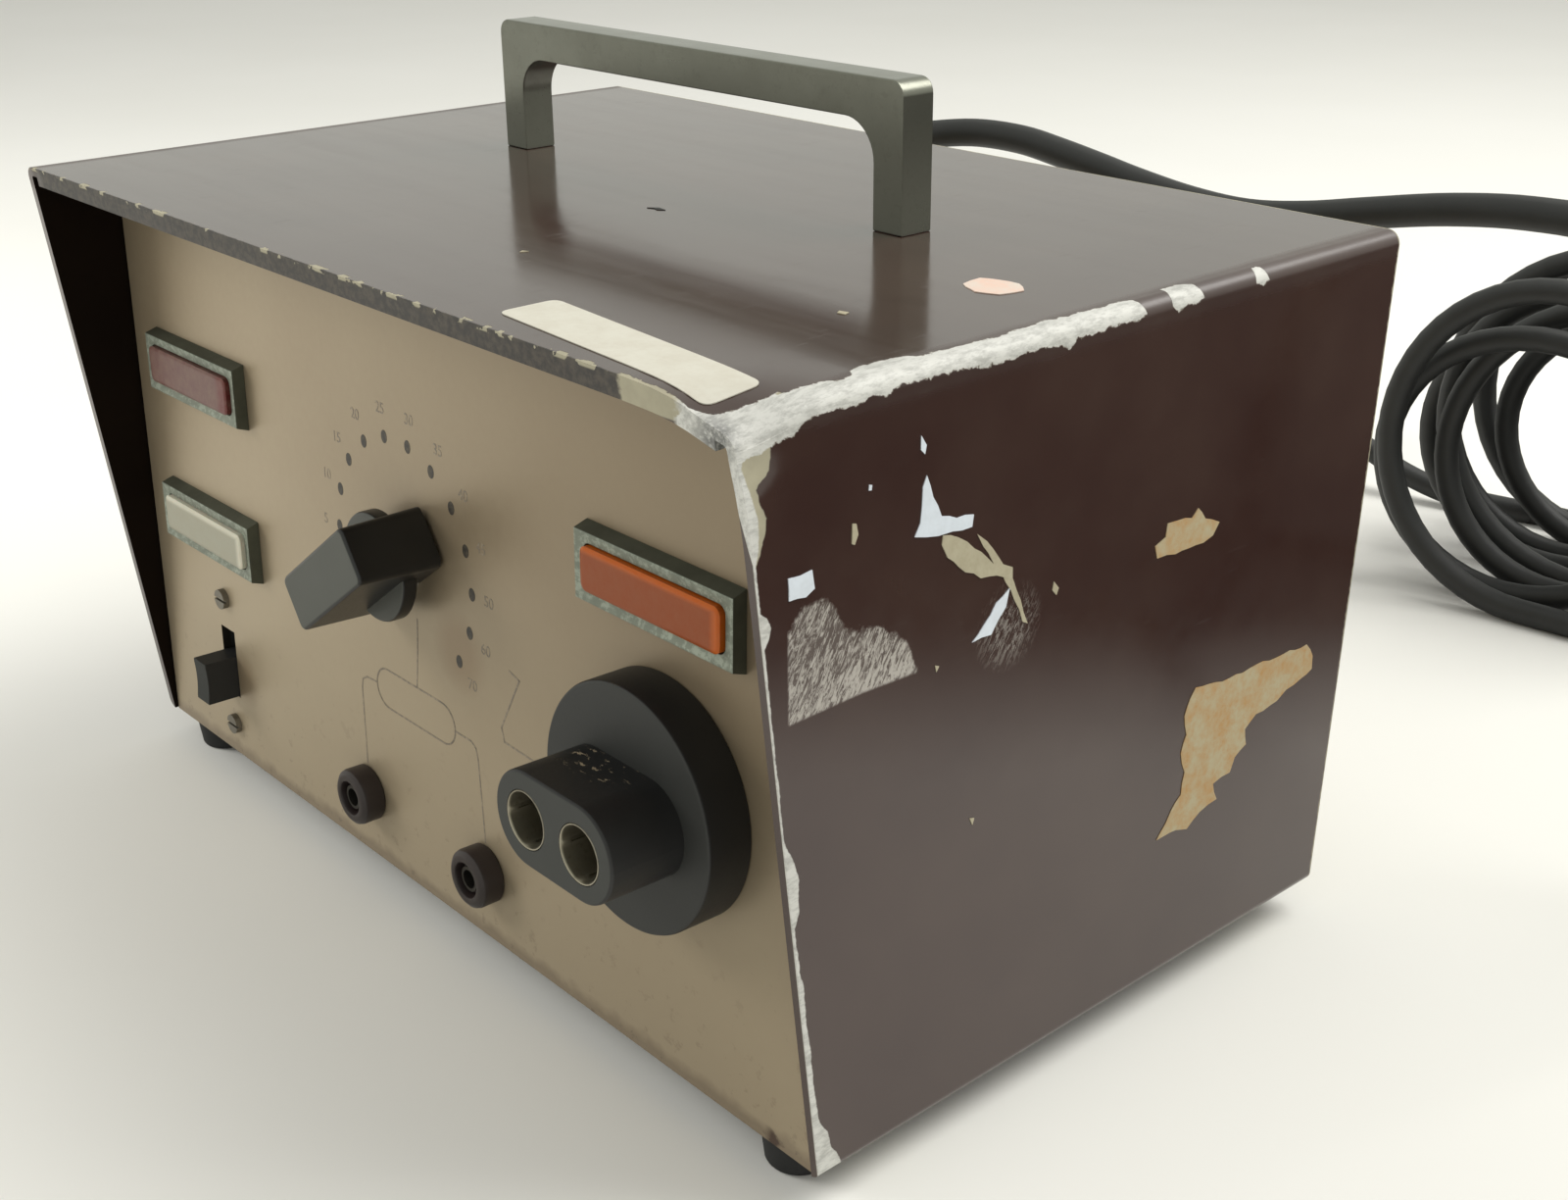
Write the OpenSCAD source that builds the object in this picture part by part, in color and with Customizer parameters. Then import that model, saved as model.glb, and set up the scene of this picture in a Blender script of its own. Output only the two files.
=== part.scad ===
// Electrosurgical coagulator: a folded sheet-metal cover over a pan, a leaning front panel with a
// bar knob, three lamps, a slide switch, two jacks and a two-pole output connector, a bar handle on
// top, and a mains cord that leaves the back and ends in a loose upright coil and its plug.
// Millimetres. +Z is up and the front faces -Y. Z = 0 is under the feet, X = 0 is the cover's
// middle, and Y = 0 is midway between the connector's front face and the cover's rear edge.

/* [Cover] */
// Width over both cheeks
cover_w = 246; // [236:1:280]
// Depth of the top, from its front edge to its rear edge
cover_d = 164; // [160:1:190]
// Height of the cover
cover_h = 140; // [136:1:160]
// Thickness of the cover's sheet
sheet_t = 2; // [1.5:0.1:2.2]
// Outer radius of the two upper folds
fold_r = 2.8; // [2.6:0.1:6]
// Outer radius of the two lower folds
lower_fold_r = 2.4; // [2.2:0.1:2.4]
// How far the cheeks' lower front corners lie behind the top's front edge
front_rake = 15; // [10:1:15]
// How far the cheeks' lower rear corners lie before the top's rear edge
rear_rake = 6; // [2:1:8]
// Width of the flanges turned inward under the case
flange_w = 22; // [20:1:26]
// Thickness of the hemmed front edge of the top
hem_t = 4; // [3:0.1:5]
// Depth of the hem
hem_d = 8; // [4:1:10]

/* [Front panel and pan] */
// Thickness of the front panel
panel_t = 2; // [1.6:0.1:2]
// How far the panel's lower edge lies before the cover's middle
panel_foot_y = 66.3; // [64:0.1:67]
// Angle at which the panel leans back
panel_lean = 1.66; // [0:0.01:3]
// Depth of the lip bent back along the panel's lower edge
lip_d = 16; // [12:1:20]
// Depth of the lip bent back along the panel's upper edge
top_lip_d = 9; // [5:1:12]
// Radius of the panels' upper corners, inside the cover's folds
corner_r = 1.5; // [1:0.1:4]
// Thickness of the pan and the rear panel
pan_t = 1.5; // [1:0.1:2]
// Outer radius of the fold between the pan and the rear panel
pan_fold_r = 3; // [2.1:0.1:4]
// How far the rear panel's outer face lies behind the cover's middle
rear_y = 70; // [66:1:72]
// Height of the pan's side upstands
upstand_h = 10; // [6:1:14]
// Gap between the panels and the cover round them
slide_gap = 0.5; // [0.3:0.1:0.6]
// Gap round a fixed piece in its hole
fit_gap = 0.05; // [0.02:0.01:0.1]

/* [Vents] */
// Number of slots in the rear panel
vent_count = 7; // [3:1:8]
// Length of a slot
vent_w = 40; // [20:1:60]
// Height of a slot
vent_h = 3; // [2:0.5:4]
// Distance from one slot to the next
vent_pitch = 7; // [6:0.5:8]
// Middle of the lowest slot
vent_x = 60; // [40:1:80]
// Height of the lowest slot
vent_z = 70; // [60:1:75]

/* [Feet] */
// Height of a rubber foot
foot_h = 7; // [6:0.5:9]
// Radius of a foot at its top
foot_r = 7; // [6.5:0.1:8]
// How much narrower a foot's sole is
foot_taper = 0.8; // [0:0.1:1.5]
// Radius of the rounding round the sole
foot_round = 0.8; // [0.2:0.1:1.2]
// Distance of the feet's middles in from the cover's sides
foot_in = 14; // [13:0.5:15]
// Distance of the front feet before the cover's middle
foot_front_y = 59; // [48:1:59]
// Distance of the rear feet behind the cover's middle
foot_rear_y = 57; // [50:1:58]
// Radius of the screws through the feet
foot_screw_r = 1.5; // [1.2:0.1:1.8]
// Depth of the pocket for a foot screw's head
foot_pocket = 3.6; // [3:0.1:4]

/* [Handle] */
// Length of the handle over both posts
handle_l = 130; // [110:1:160]
// Depth of the bar, front to back
handle_d = 8; // [6:0.5:10]
// Height of the handle above the cover
handle_h = 28.6; // [26:0.1:36]
// Width of each post
post_w = 7.8; // [7:0.1:10]
// Thickness of the grip bar
grip_t = 8; // [6:0.1:10]
// Radius of the inner corners under the grip
grip_r = 8; // [4:0.5:10]
// Radius of the outer corners over the grip
grip_outer_r = 3; // [1:0.1:5]
// Distance of the handle's front face behind the cover's middle
handle_y = 10; // [-10:1:20]
// Radius of the handle's screws
handle_screw_r = 2; // [1.5:0.1:2.4]
// How deep a screw goes into its post
handle_screw_l = 12; // [8:1:14]

/* [Panel layout] */
// Middle of the layout, right of the cover's middle
layout_x = -3; // [-6:0.5:6]
// Height of the dial's centre along the panel
dial_v = 76; // [74:0.5:80]
// Distance of the lamps, the switch and the connector in from the cover's sides
side_in = 39; // [37:0.5:41]
// Height of the amber and red lamps' middles
lamp_v = 95; // [94:0.5:100]
// Height of the white lamp's middle
white_lamp_v = 58.6; // [56:0.1:62]
// Height of the connector's middle
connector_v = 57.5; // [55:0.5:60]
// Height of the switch slot's middle
switch_v = 24.6; // [23:0.1:28]
// Middle of the two jacks, right of the layout's middle
jack_mid = 2.4; // [-4:0.1:4]
// Distance between the jacks
jack_pitch = 45.6; // [30:0.1:60]
// Height of the jacks' middles
jack_v = 15.4; // [14:0.1:22]

/* [Dial] */
// Length of the knob's bar
knob_l = 31; // [27:0.5:34]
// Width of the bar at the panel
knob_w = 12.8; // [11:0.1:14]
// Width of the bar at its front
knob_front_w = 11.7; // [9:0.1:11.9]
// Reach of the knob's front face before the panel
knob_reach = 18.8; // [16:0.1:20]
// Radius of the bar's corners
knob_corner_r = 2; // [1:0.1:3]
// Radius of the rounding along the bar's front edges
knob_edge_r = 1; // [0.5:0.1:1.5]
// Radius of the round collar across the bar
collar_r = 11.3; // [10:0.1:13]
// Thickness of the collar
collar_t = 3.6; // [3:0.1:5]
// Distance of the collar's back from the panel
collar_back = 3.6; // [1:0.1:3.8]
// Gap between the knob and the panel
knob_gap = 1; // [0.5:0.1:1.5]
// Angle the bar points to, from the right and counter-clockwise
knob_angle = 36; // [0:1:60]
// Radius of the dial's shaft
shaft_r = 3.175; // [2.8:0.005:3.2]
// Running clearance round the shaft
shaft_gap = 0.05; // [0.03:0.01:0.08]
// Reach of the shaft's end before the panel
shaft_reach = 14; // [12:0.5:14.5]
// Radius of the threaded bush
bush_r = 4.7; // [4.4:0.1:5]
// Reach of the bush before the panel
bush_reach = 3.4; // [3:0.1:3.6]
// Thickness of the bush's nut
bush_nut_t = 2.2; // [1.8:0.1:2.6]
// Half the width of the nut over its corners
bush_nut_r = 7.3; // [6.8:0.1:7.6]
// Radius of the control's case behind the panel
pot_r = 12; // [10:0.5:13]
// Depth of the control's case
pot_d = 11; // [9:0.5:14]

/* [Lamps] */
// Width of a bezel
bezel_w = 42.6; // [40.6:0.1:44]
// Height of a bezel at the panel
bezel_h = 15; // [14:0.1:17]
// Height of a bezel at its front
bezel_front_h = 13; // [12.4:0.1:13.8]
// Reach of a bezel before the panel
bezel_reach = 3; // [2.5:0.1:4]
// Width of a lens
lens_w = 37.5; // [34:0.1:37.6]
// Height of a lens
lens_h = 8.3; // [7.4:0.1:9]
// How far a lens stands out of its bezel
lens_proud = 0.8; // [0.4:0.1:1.2]
// Gap between a lens and its bezel
lens_gap = 0.15; // [0.1:0.01:0.2]
// Wall of the sleeve behind a bezel
sleeve_t = 1.1; // [0.9:0.1:1.2]
// Length of the sleeve behind the panel
sleeve_d = 18; // [14:0.5:20]
// Length of the lamp holder behind its sleeve
holder_d = 9; // [6:0.5:12]
// Radius of a bulb
bulb_r = 3; // [2:0.1:3.4]

/* [Jacks] */
// Radius of a jack's head
jack_r = 6.35; // [5.6:0.05:7]
// Reach of a jack's head before the panel
jack_reach = 5.5; // [5:0.1:7]
// Radius of a jack's shank
jack_shank_r = 4; // [3.6:0.1:4.4]
// Length of the shank behind the panel
jack_shank_d = 8; // [6:0.5:10]
// Radius of a jack's socket
socket_r = 2; // [1.8:0.05:2.2]
// Wall of the metal socket
socket_wall = 0.7; // [0.5:0.05:0.9]
// How far the metal socket lies back from the head's face
socket_recess = 1; // [0.5:0.1:2]
// Depth of the socket's hole
socket_depth = 16; // [12:0.5:18]

/* [Output connector] */
// Radius of the connector's flange
flange_r = 23; // [21:0.5:24]
// Thickness of the flange
flange_t = 9.3; // [7:0.1:11]
// Width of the boss
boss_w = 33; // [31:0.5:36]
// Height of the boss
boss_h = 18; // [17:0.5:20]
// Reach of the boss before the panel
boss_reach = 24.3; // [22:0.1:28]
// Distance between the two contacts
contact_pitch = 15.2; // [14.6:0.1:16]
// Outer radius of a contact's sleeve
contact_r = 5.5; // [5.2:0.1:5.8]
// Radius of the wide mouth of a contact
mouth_r = 4.8; // [4.4:0.1:5]
// Depth of the wide mouth
mouth_d = 5; // [3:0.5:8]
// Radius of a contact's bore
pin_r = 3.2; // [2.8:0.1:3.6]
// Length of a contact's bore behind its mouth
pin_d = 18; // [14:0.5:20]
// Radius of the shank behind the flange
shank_r = 16; // [15.5:0.5:17]
// Length of the shank behind the panel
shank_d = 14; // [10:0.5:16]
// Thickness of the ring nut behind the panel
ring_nut_t = 4; // [3:0.5:6]

/* [Slide switch] */
// Width of the slider's thumb piece
slider_w = 6; // [5:0.1:7]
// Height of the thumb piece
slider_h = 10.5; // [9:0.1:12]
// Reach of the thumb piece before the panel
slider_reach = 8; // [6:0.1:10]
// Travel from off to on
slider_travel = 6; // [4:0.1:7]
// Clearance between the slider and its slot
slider_gap = 0.3; // [0.2:0.05:0.4]
// Width of the switch's case
switch_w = 12; // [11:0.5:14]
// Height of the switch's case over its ears
switch_h = 42; // [40:0.5:44]
// Depth of the switch's case
switch_d = 13; // [11:0.5:16]
// Wall between the slider's foot and the panel
switch_wall = 1.2; // [1:0.1:1.6]
// Thickness of the slider's foot
slider_foot_t = 2; // [1.5:0.1:3]

/* [Rear fittings] */
// Place of the fuse holder, right of the cover's middle
fuse_x = -85; // [-100:1:-70]
// Height of the fuse holder
fuse_z = 85; // [80:1:110]
// Radius of the fuse holder's barrel
fuse_r = 6.2; // [5.8:0.1:7]
// Length of the barrel inside the case
fuse_d = 34; // [33.5:0.5:38]
// Radius of the fuse
fuse_glass_r = 2.5; // [2:0.1:3]
// Place of the cord's strain relief, right of the cover's middle
relief_x = -52; // [-52:1:-52]
// Height of the strain relief
relief_z = 129; // [129:1:129]
// Length of the tapered part of the strain relief
relief_l = 22; // [22:1:22]
// Radius of the strain relief's rim
relief_rim_r = 7; // [6.5:0.1:7.5]
// Thickness of the rim
relief_rim_t = 3; // [3:1:3]

/* [Inside] */
// Width of the transformer's core
core_w = 66; // [60:1:72]
// Height of the core
core_h = 55; // [52:1:62]
// Thickness of the stack of laminations
core_d = 30; // [24:1:34]
// Width of the core's outer legs and yokes
leg_w = 11; // [9:0.5:12]
// Distance of the transformer's middle from the panels' left end
transformer_in = 64.5; // [62:0.5:65]
// Place of the transformer, behind the cover's middle
transformer_y = 25; // [15:1:30]
// Thickness of the transformer's strap
strap_t = 1.5; // [1:0.1:2]
// Depth of the circuit board
board_d = 84; // [80:1:90]
// Thickness of the circuit board
board_t = 1.6; // [1.2:0.1:2]
// Gap between the board and the transformer's strap
board_gap = 2.5; // [2:0.5:5]
// Distance of the board's right edge from the panels' right end
board_in = 21.5; // [20:0.5:24]
// Gap between the board and the rear panel
board_rear_gap = 6.5; // [5:0.5:9]
// Height of the standoffs under the board
standoff_h = 10; // [8:0.5:12]
// Inset of the standoffs from the board's corners
standoff_inset = 6; // [6:0.5:8]
// Radius of a standoff
standoff_r = 3; // [2.5:0.1:3.5]
// Height of the heat sink
sink_h = 42; // [40:1:60]
// Depth of the heat sink, front to back
sink_d = 58; // [56:1:60]
// Length of the heat sink's fins
fin_l = 15; // [10:1:16]
// Thickness of a fin
fin_t = 1.6; // [1.2:0.1:2]
// Number of fins
fin_count = 7; // [5:1:8]

/* [Mains cord] */
// Diameter of the cord
cord_d = 7.2; // [7.2:0.1:7.2]
// Turns in the coil
coil_turns = 8; // [8:1:8]
// Half the height of a middling turn
coil_h = 41; // [41:1:41]
// How much the turns' half height varies
coil_vary = 5; // [3:1:5]
// How far the turns stray to the left and right
coil_stray = 9; // [5:1:9]
// Distance from one turn to the next
coil_pitch = 10; // [9:0.5:11]
// Direction of the coil's axis, from +Y towards -X
coil_axis = 9; // [9:1:9]
// Radius of the plug's body
plug_r = 17; // [17:1:17]
// Length of the plug's body
plug_l = 24; // [20:1:30]
// Length of the plug's blades
blade_l = 17.5; // [15:0.5:18]

/* [Hidden] */
$fn = 48;

// Case
inner_w = cover_w - 2 * sheet_t;
panel_w = inner_w - 2 * slide_gap;
panel_top = cover_h - sheet_t - slide_gap;
flange_inner_x = cover_w / 2 - flange_w;
panel_back_y = -panel_foot_y + panel_t + slide_gap;
pan_top = sheet_t + pan_t;
foremost_y = -panel_foot_y + (connector_v - boss_h / 2) * sin(panel_lean)
    - boss_reach * cos(panel_lean);
case_shift_y = -(foremost_y + cover_d / 2) / 2;
foot_x = cover_w / 2 - foot_in;
foot_spots = [[-foot_x, -foot_front_y], [foot_x, -foot_front_y],
    [-foot_x, foot_rear_y], [foot_x, foot_rear_y]];
foot_nut_t = 2.4;
foot_nut_r = 3.2;
post_spots = [layout_x - (handle_l - post_w) / 2, layout_x + (handle_l - post_w) / 2];
handle_mid_y = handle_y + handle_d / 2;
handle_washer_t = 1;
handle_washer_r = 5;
panel_screw_spots = [for (side = [-1 : 1]) side * cover_w * 0.285];
panel_screw_r = 1.5;

// Panel pieces
side_u = cover_w / 2 - side_in;
knob_recess_r = bush_nut_r + 0.8;
knob_recess_top = bush_reach + 0.6;
knob_screw_r = 1.5;
knob_screw_z = (knob_recess_top + shaft_reach) / 2;
amber_u = layout_x + side_u;
red_u = layout_x - side_u;
lamp_spots = [[amber_u, lamp_v], [red_u, lamp_v], [red_u, white_lamp_v]];
sleeve_w = lens_w + 2 * (lens_gap + sleeve_t);
sleeve_h = lens_h + 2 * (lens_gap + sleeve_t);
lens_depth = 5;
bulb_seat = 4;
bulb_l = 9;
clip_t = 0.6;
clip_w = 8;
clip_l = 9;
clip_bend = 3;
jack_u = [layout_x + jack_mid - jack_pitch / 2, layout_x + jack_mid + jack_pitch / 2];
jack_nut_t = 2.6;
jack_nut_r = 6.2;
contact_end = boss_reach - mouth_d - pin_d;
tail_r = 2;
tail_l = 6;
slot_w = slider_w + 2 * slider_gap;
slot_h = slider_h + slider_travel + 2 * slider_gap;
slider_rest_v = switch_v - slider_travel / 2;
slider_foot_w = slider_w + 2.6;
slider_foot_h = slider_h + 3;
ear_u = slot_h / 2 + 7.8;
switch_screw_r = 1.2;

// Inside
strap_ear_w = 10;
strap_ear_x = core_w / 2 + strap_t + strap_ear_w / 2;
transformer_x = -panel_w / 2 + transformer_in;
board_x = transformer_x + strap_ear_x + strap_ear_w / 2 + board_gap;
board_w = panel_w / 2 - board_in - board_x;
board_y = rear_y - pan_t - board_rear_gap - board_d;
board_screw_r = 1.5;
window_w = (core_w - 4 * leg_w) / 2;
winding_reach = window_w - 0.5;
board_top = pan_top + standoff_h + board_t;
board_spots = [[board_x + standoff_inset, board_y + standoff_inset],
    [board_x + board_w - standoff_inset, board_y + standoff_inset],
    [board_x + standoff_inset, board_y + board_d - standoff_inset],
    [board_x + board_w - standoff_inset, board_y + board_d - standoff_inset]];
sink_plate_t = 3;
sink_x = board_x + board_w - sink_plate_t - fin_l - 3;
sink_y = board_y + (board_d - sink_d) / 2;
capacitor_r = 0.065 * board_w;
capacitor_h = 4 * capacitor_r;
capacitor_spots = [for (i = [0 : 2])
    [board_x + 0.24 * board_w + i * (2 * capacitor_r + 3), board_y + board_d / 7]];
relay_w = board_w / 6;
relay_d = board_d / 3;
relay_h = 24;
relay_spot = [board_x + 0.555 * board_w, board_y + 0.476 * board_d];
toroid_r = 0.157 * board_w;
toroid_wire_r = 0.06 * board_w;
toroid_spot = [board_x + board_w / 4, board_y + 0.571 * board_d];

// Rear fittings
fuse_rim_t = 2;
fuse_bore_r = fuse_glass_r + 0.8;
relief_neck_r = 5.6;

// Cord. The points are the cord's middle line, in this file's frame.
cord_r = cord_d / 2;
plug_neck_l = 18;
plug_flare_l = 12;
relief_tip = [relief_x, case_shift_y + rear_y + relief_rim_t + relief_l, foot_h + relief_z];
lead_route = [relief_tip, relief_tip + [0, 6, 0],
    [-50, 115, 136.5], [-43, 126, 138.5], [-31, 132.5, 140], [-16, 134, 140], [-3, 134, 138.5],
    [10, 134, 136.5], [22, 134, 134.5], [38, 134, 132.5], [54, 134, 132], [70, 134, 134],
    [87, 134, 137.5], [105, 134, 141], [123, 134, 143], [140, 134, 142.5], [156, 134, 136],
    [169, 135, 124], [178, 137, 107], [184, 139, 86], [189, 142, 63], [195, 146, 41],
    [205, 152, 22], [219, 160, 9.5], [237, 170, 4.2], [256, 182, 3.6], [270, 198, 3.6],
    [275, 217, 3.6], [268, 238, 3.6], [250, 254, 3.6], [227, 263, 3.6], [200, 266.5, 3.6],
    [169, 265, 3.6], [139, 261.5, 3.6], [111, 257.5, 3.6]];
coil_start = [76, 252];
coil_rings = 24;
coil_sides = 6;
lead_sides = 10;
plug_tip = [-33, 317, plug_r];
tail_route = [[35, 326, 3.6], [15, 322, 4], [-3, 319, 8], [-18, 317.4, 14]];

// A vector of length one
function unit(v) = v / norm(v);

// The flat directions across and along the coil's axis
coil_across = [cos(coil_axis), sin(coil_axis), 0];
coil_along = [-sin(coil_axis), cos(coil_axis), 0];

// Half height and half width of the turns at turn t, and how far they stray there
function turn_h(t) = coil_h + coil_vary * sin(150 * t);
function turn_w(t) = 0.55 * turn_h(t) + 20;
function turn_stray(t) = -coil_stray * sin(100 * t) * min(t, 1);

// Middle of the coil's cord at turn t. Every turn touches the ground at its lowest point.
function coil_point(t) = [coil_start[0], coil_start[1], cord_r]
    + coil_across * (turn_stray(t) + turn_w(t) * cos(-90 - 360 * t))
    + coil_along * coil_pitch * t
    + [0, 0, turn_h(t) * (1 + sin(-90 - 360 * t))];

coil_steps = coil_turns * coil_rings;
coil_body = [for (i = [0 : coil_steps]) coil_point(i / coil_rings)];
coil_in = flat(unit(coil_body[1] - coil_body[0]));
coil_out = flat(unit(coil_body[coil_steps] - coil_body[coil_steps - 1]));
coil_first = coil_body[0] - coil_in * cord_d;
coil_last = coil_body[coil_steps] + coil_out * cord_d;
coil_path = concat([coil_first], coil_body, [coil_last]);

// A direction laid flat on the ground
function flat(v) = unit([v[0], v[1], 0]);

// Least gap between two turns, measured on the points of the middle line
coil_gap = min([for (i = [0 : coil_steps]) for (j = [i + coil_rings / 2 : coil_steps])
    norm(coil_body[i] - coil_body[j])]) - cord_d;
echo(coil_gap = coil_gap);

// A smooth curve through the points a, b, c and d, between b and c
function blend(a, b, c, d, t) = 0.5 * ((2 * b) + (c - a) * t + (2 * a - 5 * b + 4 * c - d) * t * t
    + (3 * b - a - 3 * c + d) * t * t * t);
// The same point, kept from sinking into the ground
function grounded(p) = [p[0], p[1], max(p[2], cord_r)];
// The route with two steps between each pair of its points
function smooth(p) = concat([for (i = [0 : len(p) - 2]) for (t = [0, 0.5])
    grounded(blend(p[max(i - 1, 0)], p[i], p[i + 1], p[min(i + 2, len(p) - 1)], t))],
    [p[len(p) - 1]]);

lead_path = smooth(concat(lead_route, [coil_first - coil_in * 9, coil_first]));
tail_path = smooth(concat([coil_last, coil_last + coil_out * 9], tail_route,
    [plug_tip + [6, 0, 0], plug_tip]));
// Length along the points of p
function spans(p) = [for (i = [1 : len(p) - 1]) norm(p[i] - p[i - 1])];
function path_length(p) = spans(p) * [for (s = spans(p)) 1];
echo(lead = path_length(lead_path), coil = path_length(coil_path), tail = path_length(tail_path));

// Placing
module case_frame() {
    translate([0, case_shift_y, foot_h])
        children();
}

// On the panel: x to the right, y up along it, z out of it, from the layout's lower middle
module on_panel(u, v) {
    case_frame()
        translate([0, -panel_foot_y, 0])
            rotate([90 - panel_lean, 0, 0])
                translate([u, v, 0])
                    children();
}

// On the rear panel: x to the right as seen from the front, z out of it
module on_rear(x, z) {
    case_frame()
        translate([x, rear_y, z])
            rotate([-90, 0, 0])
                children();
}

// A profile whose x runs along Y and whose y runs up, drawn out along X
module along_x(length) {
    rotate([90, 0, 90])
        linear_extrude(length, center = true)
            children();
}

// A profile in X and Z drawn out along Y
module along_y(length) {
    rotate([90, 0, 0])
        linear_extrude(length, center = true)
            children();
}

// Profiles
// A box standing on y = 0 with its own radius at the upper and at the lower corners
module box_2d(w, h, upper, lower) {
    translate([-w / 2, lower])
        square([w, h - lower - upper]);
    translate([-w / 2 + upper, h - upper])
        square([w - 2 * upper, upper]);
    translate([-w / 2 + lower, 0])
        square([w - 2 * lower, lower]);
    for (side = [-1, 1]) {
        translate([side * (w / 2 - upper), h - upper])
            circle(upper);
        translate([side * (w / 2 - lower), lower])
            circle(lower);
    }
}

// A plate standing on y = 0 with square lower corners
module plate_2d(w, h, r) {
    translate([-w / 2, 0])
        square([w, h - r]);
    translate([-w / 2 + r, h - r])
        square([w - 2 * r, r]);
    for (side = [-1, 1])
        translate([side * (w / 2 - r), h - r])
            circle(r);
}

// A sheet bent once, its outer corner at the origin, running w along x and h along y
module bend_2d(w, h, t, r) {
    difference() {
        bend_side_2d(w, h, r);
        translate([t, t])
            bend_side_2d(w, h, r - t);
    }
}

module bend_side_2d(w, h, r) {
    translate([r, 0])
        square([w - r, h]);
    translate([0, r])
        square([w, h - r]);
    translate([r, r])
        circle(r);
}

module slot_2d(w, h) {
    translate([-w / 2 + h / 2, -h / 2])
        square([w - h, h]);
    for (side = [-1, 1])
        translate([side * (w - h) / 2, 0])
            circle(h / 2);
}

// Fasteners
module pan_screw(r, length) {
    cylinder(r = r, h = length);
    translate([0, 0, -r * 1.2])
        difference() {
            cylinder(r = 2 * r, h = r * 1.2);
            translate([-2.5 * r, -r / 4, -1])
                cube([5 * r, r / 2, 1 + r * 0.5]);
        }
}

module hex_nut(corner_r, hole_r, t) {
    difference() {
        cylinder(r = corner_r, h = t, $fn = 6);
        translate([0, 0, -1])
            cylinder(r = hole_r, h = t + 2);
    }
}

module ring(outer_r, inner_r, t) {
    difference() {
        cylinder(r = outer_r, h = t);
        translate([0, 0, -1])
            cylinder(r = inner_r, h = t + 2);
    }
}

// Case
module cover() {
    color([0.24, 0.13, 0.12])
        case_frame()
            difference() {
                intersection() {
                    union() {
                        folded_sheet();
                        hem();
                    }
                    along_x(cover_w + 2)
                        side_2d();
                }
                flange_holes();
                handle_holes();
            }
}

module side_2d() {
    polygon([[-cover_d / 2, cover_h + 1], [cover_d / 2, cover_h + 1], [cover_d / 2, cover_h],
        [cover_d / 2 - rear_rake, 0], [cover_d / 2 - rear_rake, -1],
        [-cover_d / 2 + front_rake, -1], [-cover_d / 2 + front_rake, 0], [-cover_d / 2, cover_h]]);
}

module folded_sheet() {
    difference() {
        along_y(cover_d)
            difference() {
                box_2d(cover_w, cover_h, fold_r, lower_fold_r);
                translate([0, sheet_t])
                    box_2d(inner_w, cover_h - 2 * sheet_t, fold_r - sheet_t, lower_fold_r - sheet_t);
                translate([-flange_inner_x, -1])
                    square([2 * flange_inner_x, sheet_t + 2]);
            }
        translate([-inner_w / 2, -cover_d / 2 - 1, -1])
            cube([inner_w, cover_d / 2 + 1 + panel_back_y, sheet_t + 1.5]);
    }
}

// The top's front edge is folded back under itself
module hem() {
    translate([-inner_w / 2 + fold_r, -cover_d / 2, cover_h - hem_t])
        cube([inner_w - 2 * fold_r, hem_d, hem_t - sheet_t]);
}

module flange_holes() {
    for (p = foot_spots)
        translate([p[0], p[1], -1])
            cylinder(r = foot_screw_r + fit_gap, h = sheet_t + 2);
}

module handle_holes() {
    for (x = post_spots)
        translate([x, handle_mid_y, cover_h - sheet_t - 1])
            cylinder(r = handle_screw_r + fit_gap, h = sheet_t + 2);
}

module front_panel() {
    color([0.66, 0.60, 0.49])
        difference() {
            union() {
                on_panel(0, 0)
                    translate([0, 0, -panel_t])
                        linear_extrude(panel_t)
                            difference() {
                                translate([0, -1])
                                    plate_2d(panel_w, panel_top / cos(panel_lean) + 1, corner_r);
                                panel_cutouts();
                            }
                case_frame()
                    panel_lips();
            }
            case_frame()
                panel_trim();
        }
}

module panel_cutouts() {
    translate([layout_x, dial_v])
        circle(bush_r + fit_gap);
    for (p = lamp_spots)
        translate([p[0] - sleeve_w / 2 - fit_gap, p[1] - sleeve_h / 2 - fit_gap])
            square([sleeve_w + 2 * fit_gap, sleeve_h + 2 * fit_gap]);
    for (u = jack_u)
        translate([u, jack_v])
            circle(jack_shank_r + fit_gap);
    translate([layout_x + side_u, connector_v])
        circle(shank_r + fit_gap);
    translate([red_u - slot_w / 2, switch_v - slot_h / 2])
        square([slot_w, slot_h]);
    for (side = [-1, 1])
        translate([red_u, switch_v + side * ear_u])
            circle(switch_screw_r + fit_gap);
}

module panel_lips() {
    translate([-flange_inner_x + slide_gap, -panel_foot_y + panel_t / 2, 0])
        cube([2 * (flange_inner_x - slide_gap), lip_d - panel_t / 2, sheet_t]);
    translate([-panel_w / 2 + 2 * corner_r, -panel_foot_y + panel_top * tan(panel_lean) + panel_t / 2,
        panel_top - panel_t])
        cube([panel_w - 4 * corner_r, top_lip_d - panel_t / 2, panel_t]);
}

// What reaches below the panel's lower edge is cut off, and the lower lip is drilled
module panel_trim() {
    translate([-cover_w, -cover_d, -20])
        cube([2 * cover_w, 2 * cover_d, 20]);
    for (x = panel_screw_spots)
        translate([x, panel_screw_y(), -1])
            cylinder(r = panel_screw_r + fit_gap, h = sheet_t + 2);
}

function panel_screw_y() = -panel_foot_y + (panel_t + lip_d) / 2;

module chassis() {
    color([0.62, 0.57, 0.47])
        case_frame()
            difference() {
                union() {
                    intersection() {
                        translate([0, rear_y, sheet_t])
                            mirror([0, 1, 0])
                                along_x(panel_w)
                                    bend_2d(rear_y - panel_back_y, panel_top - sheet_t, pan_t, pan_fold_r);
                        rear_outline();
                    }
                    upstands();
                }
                pan_holes();
                rear_holes();
            }
}

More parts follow.
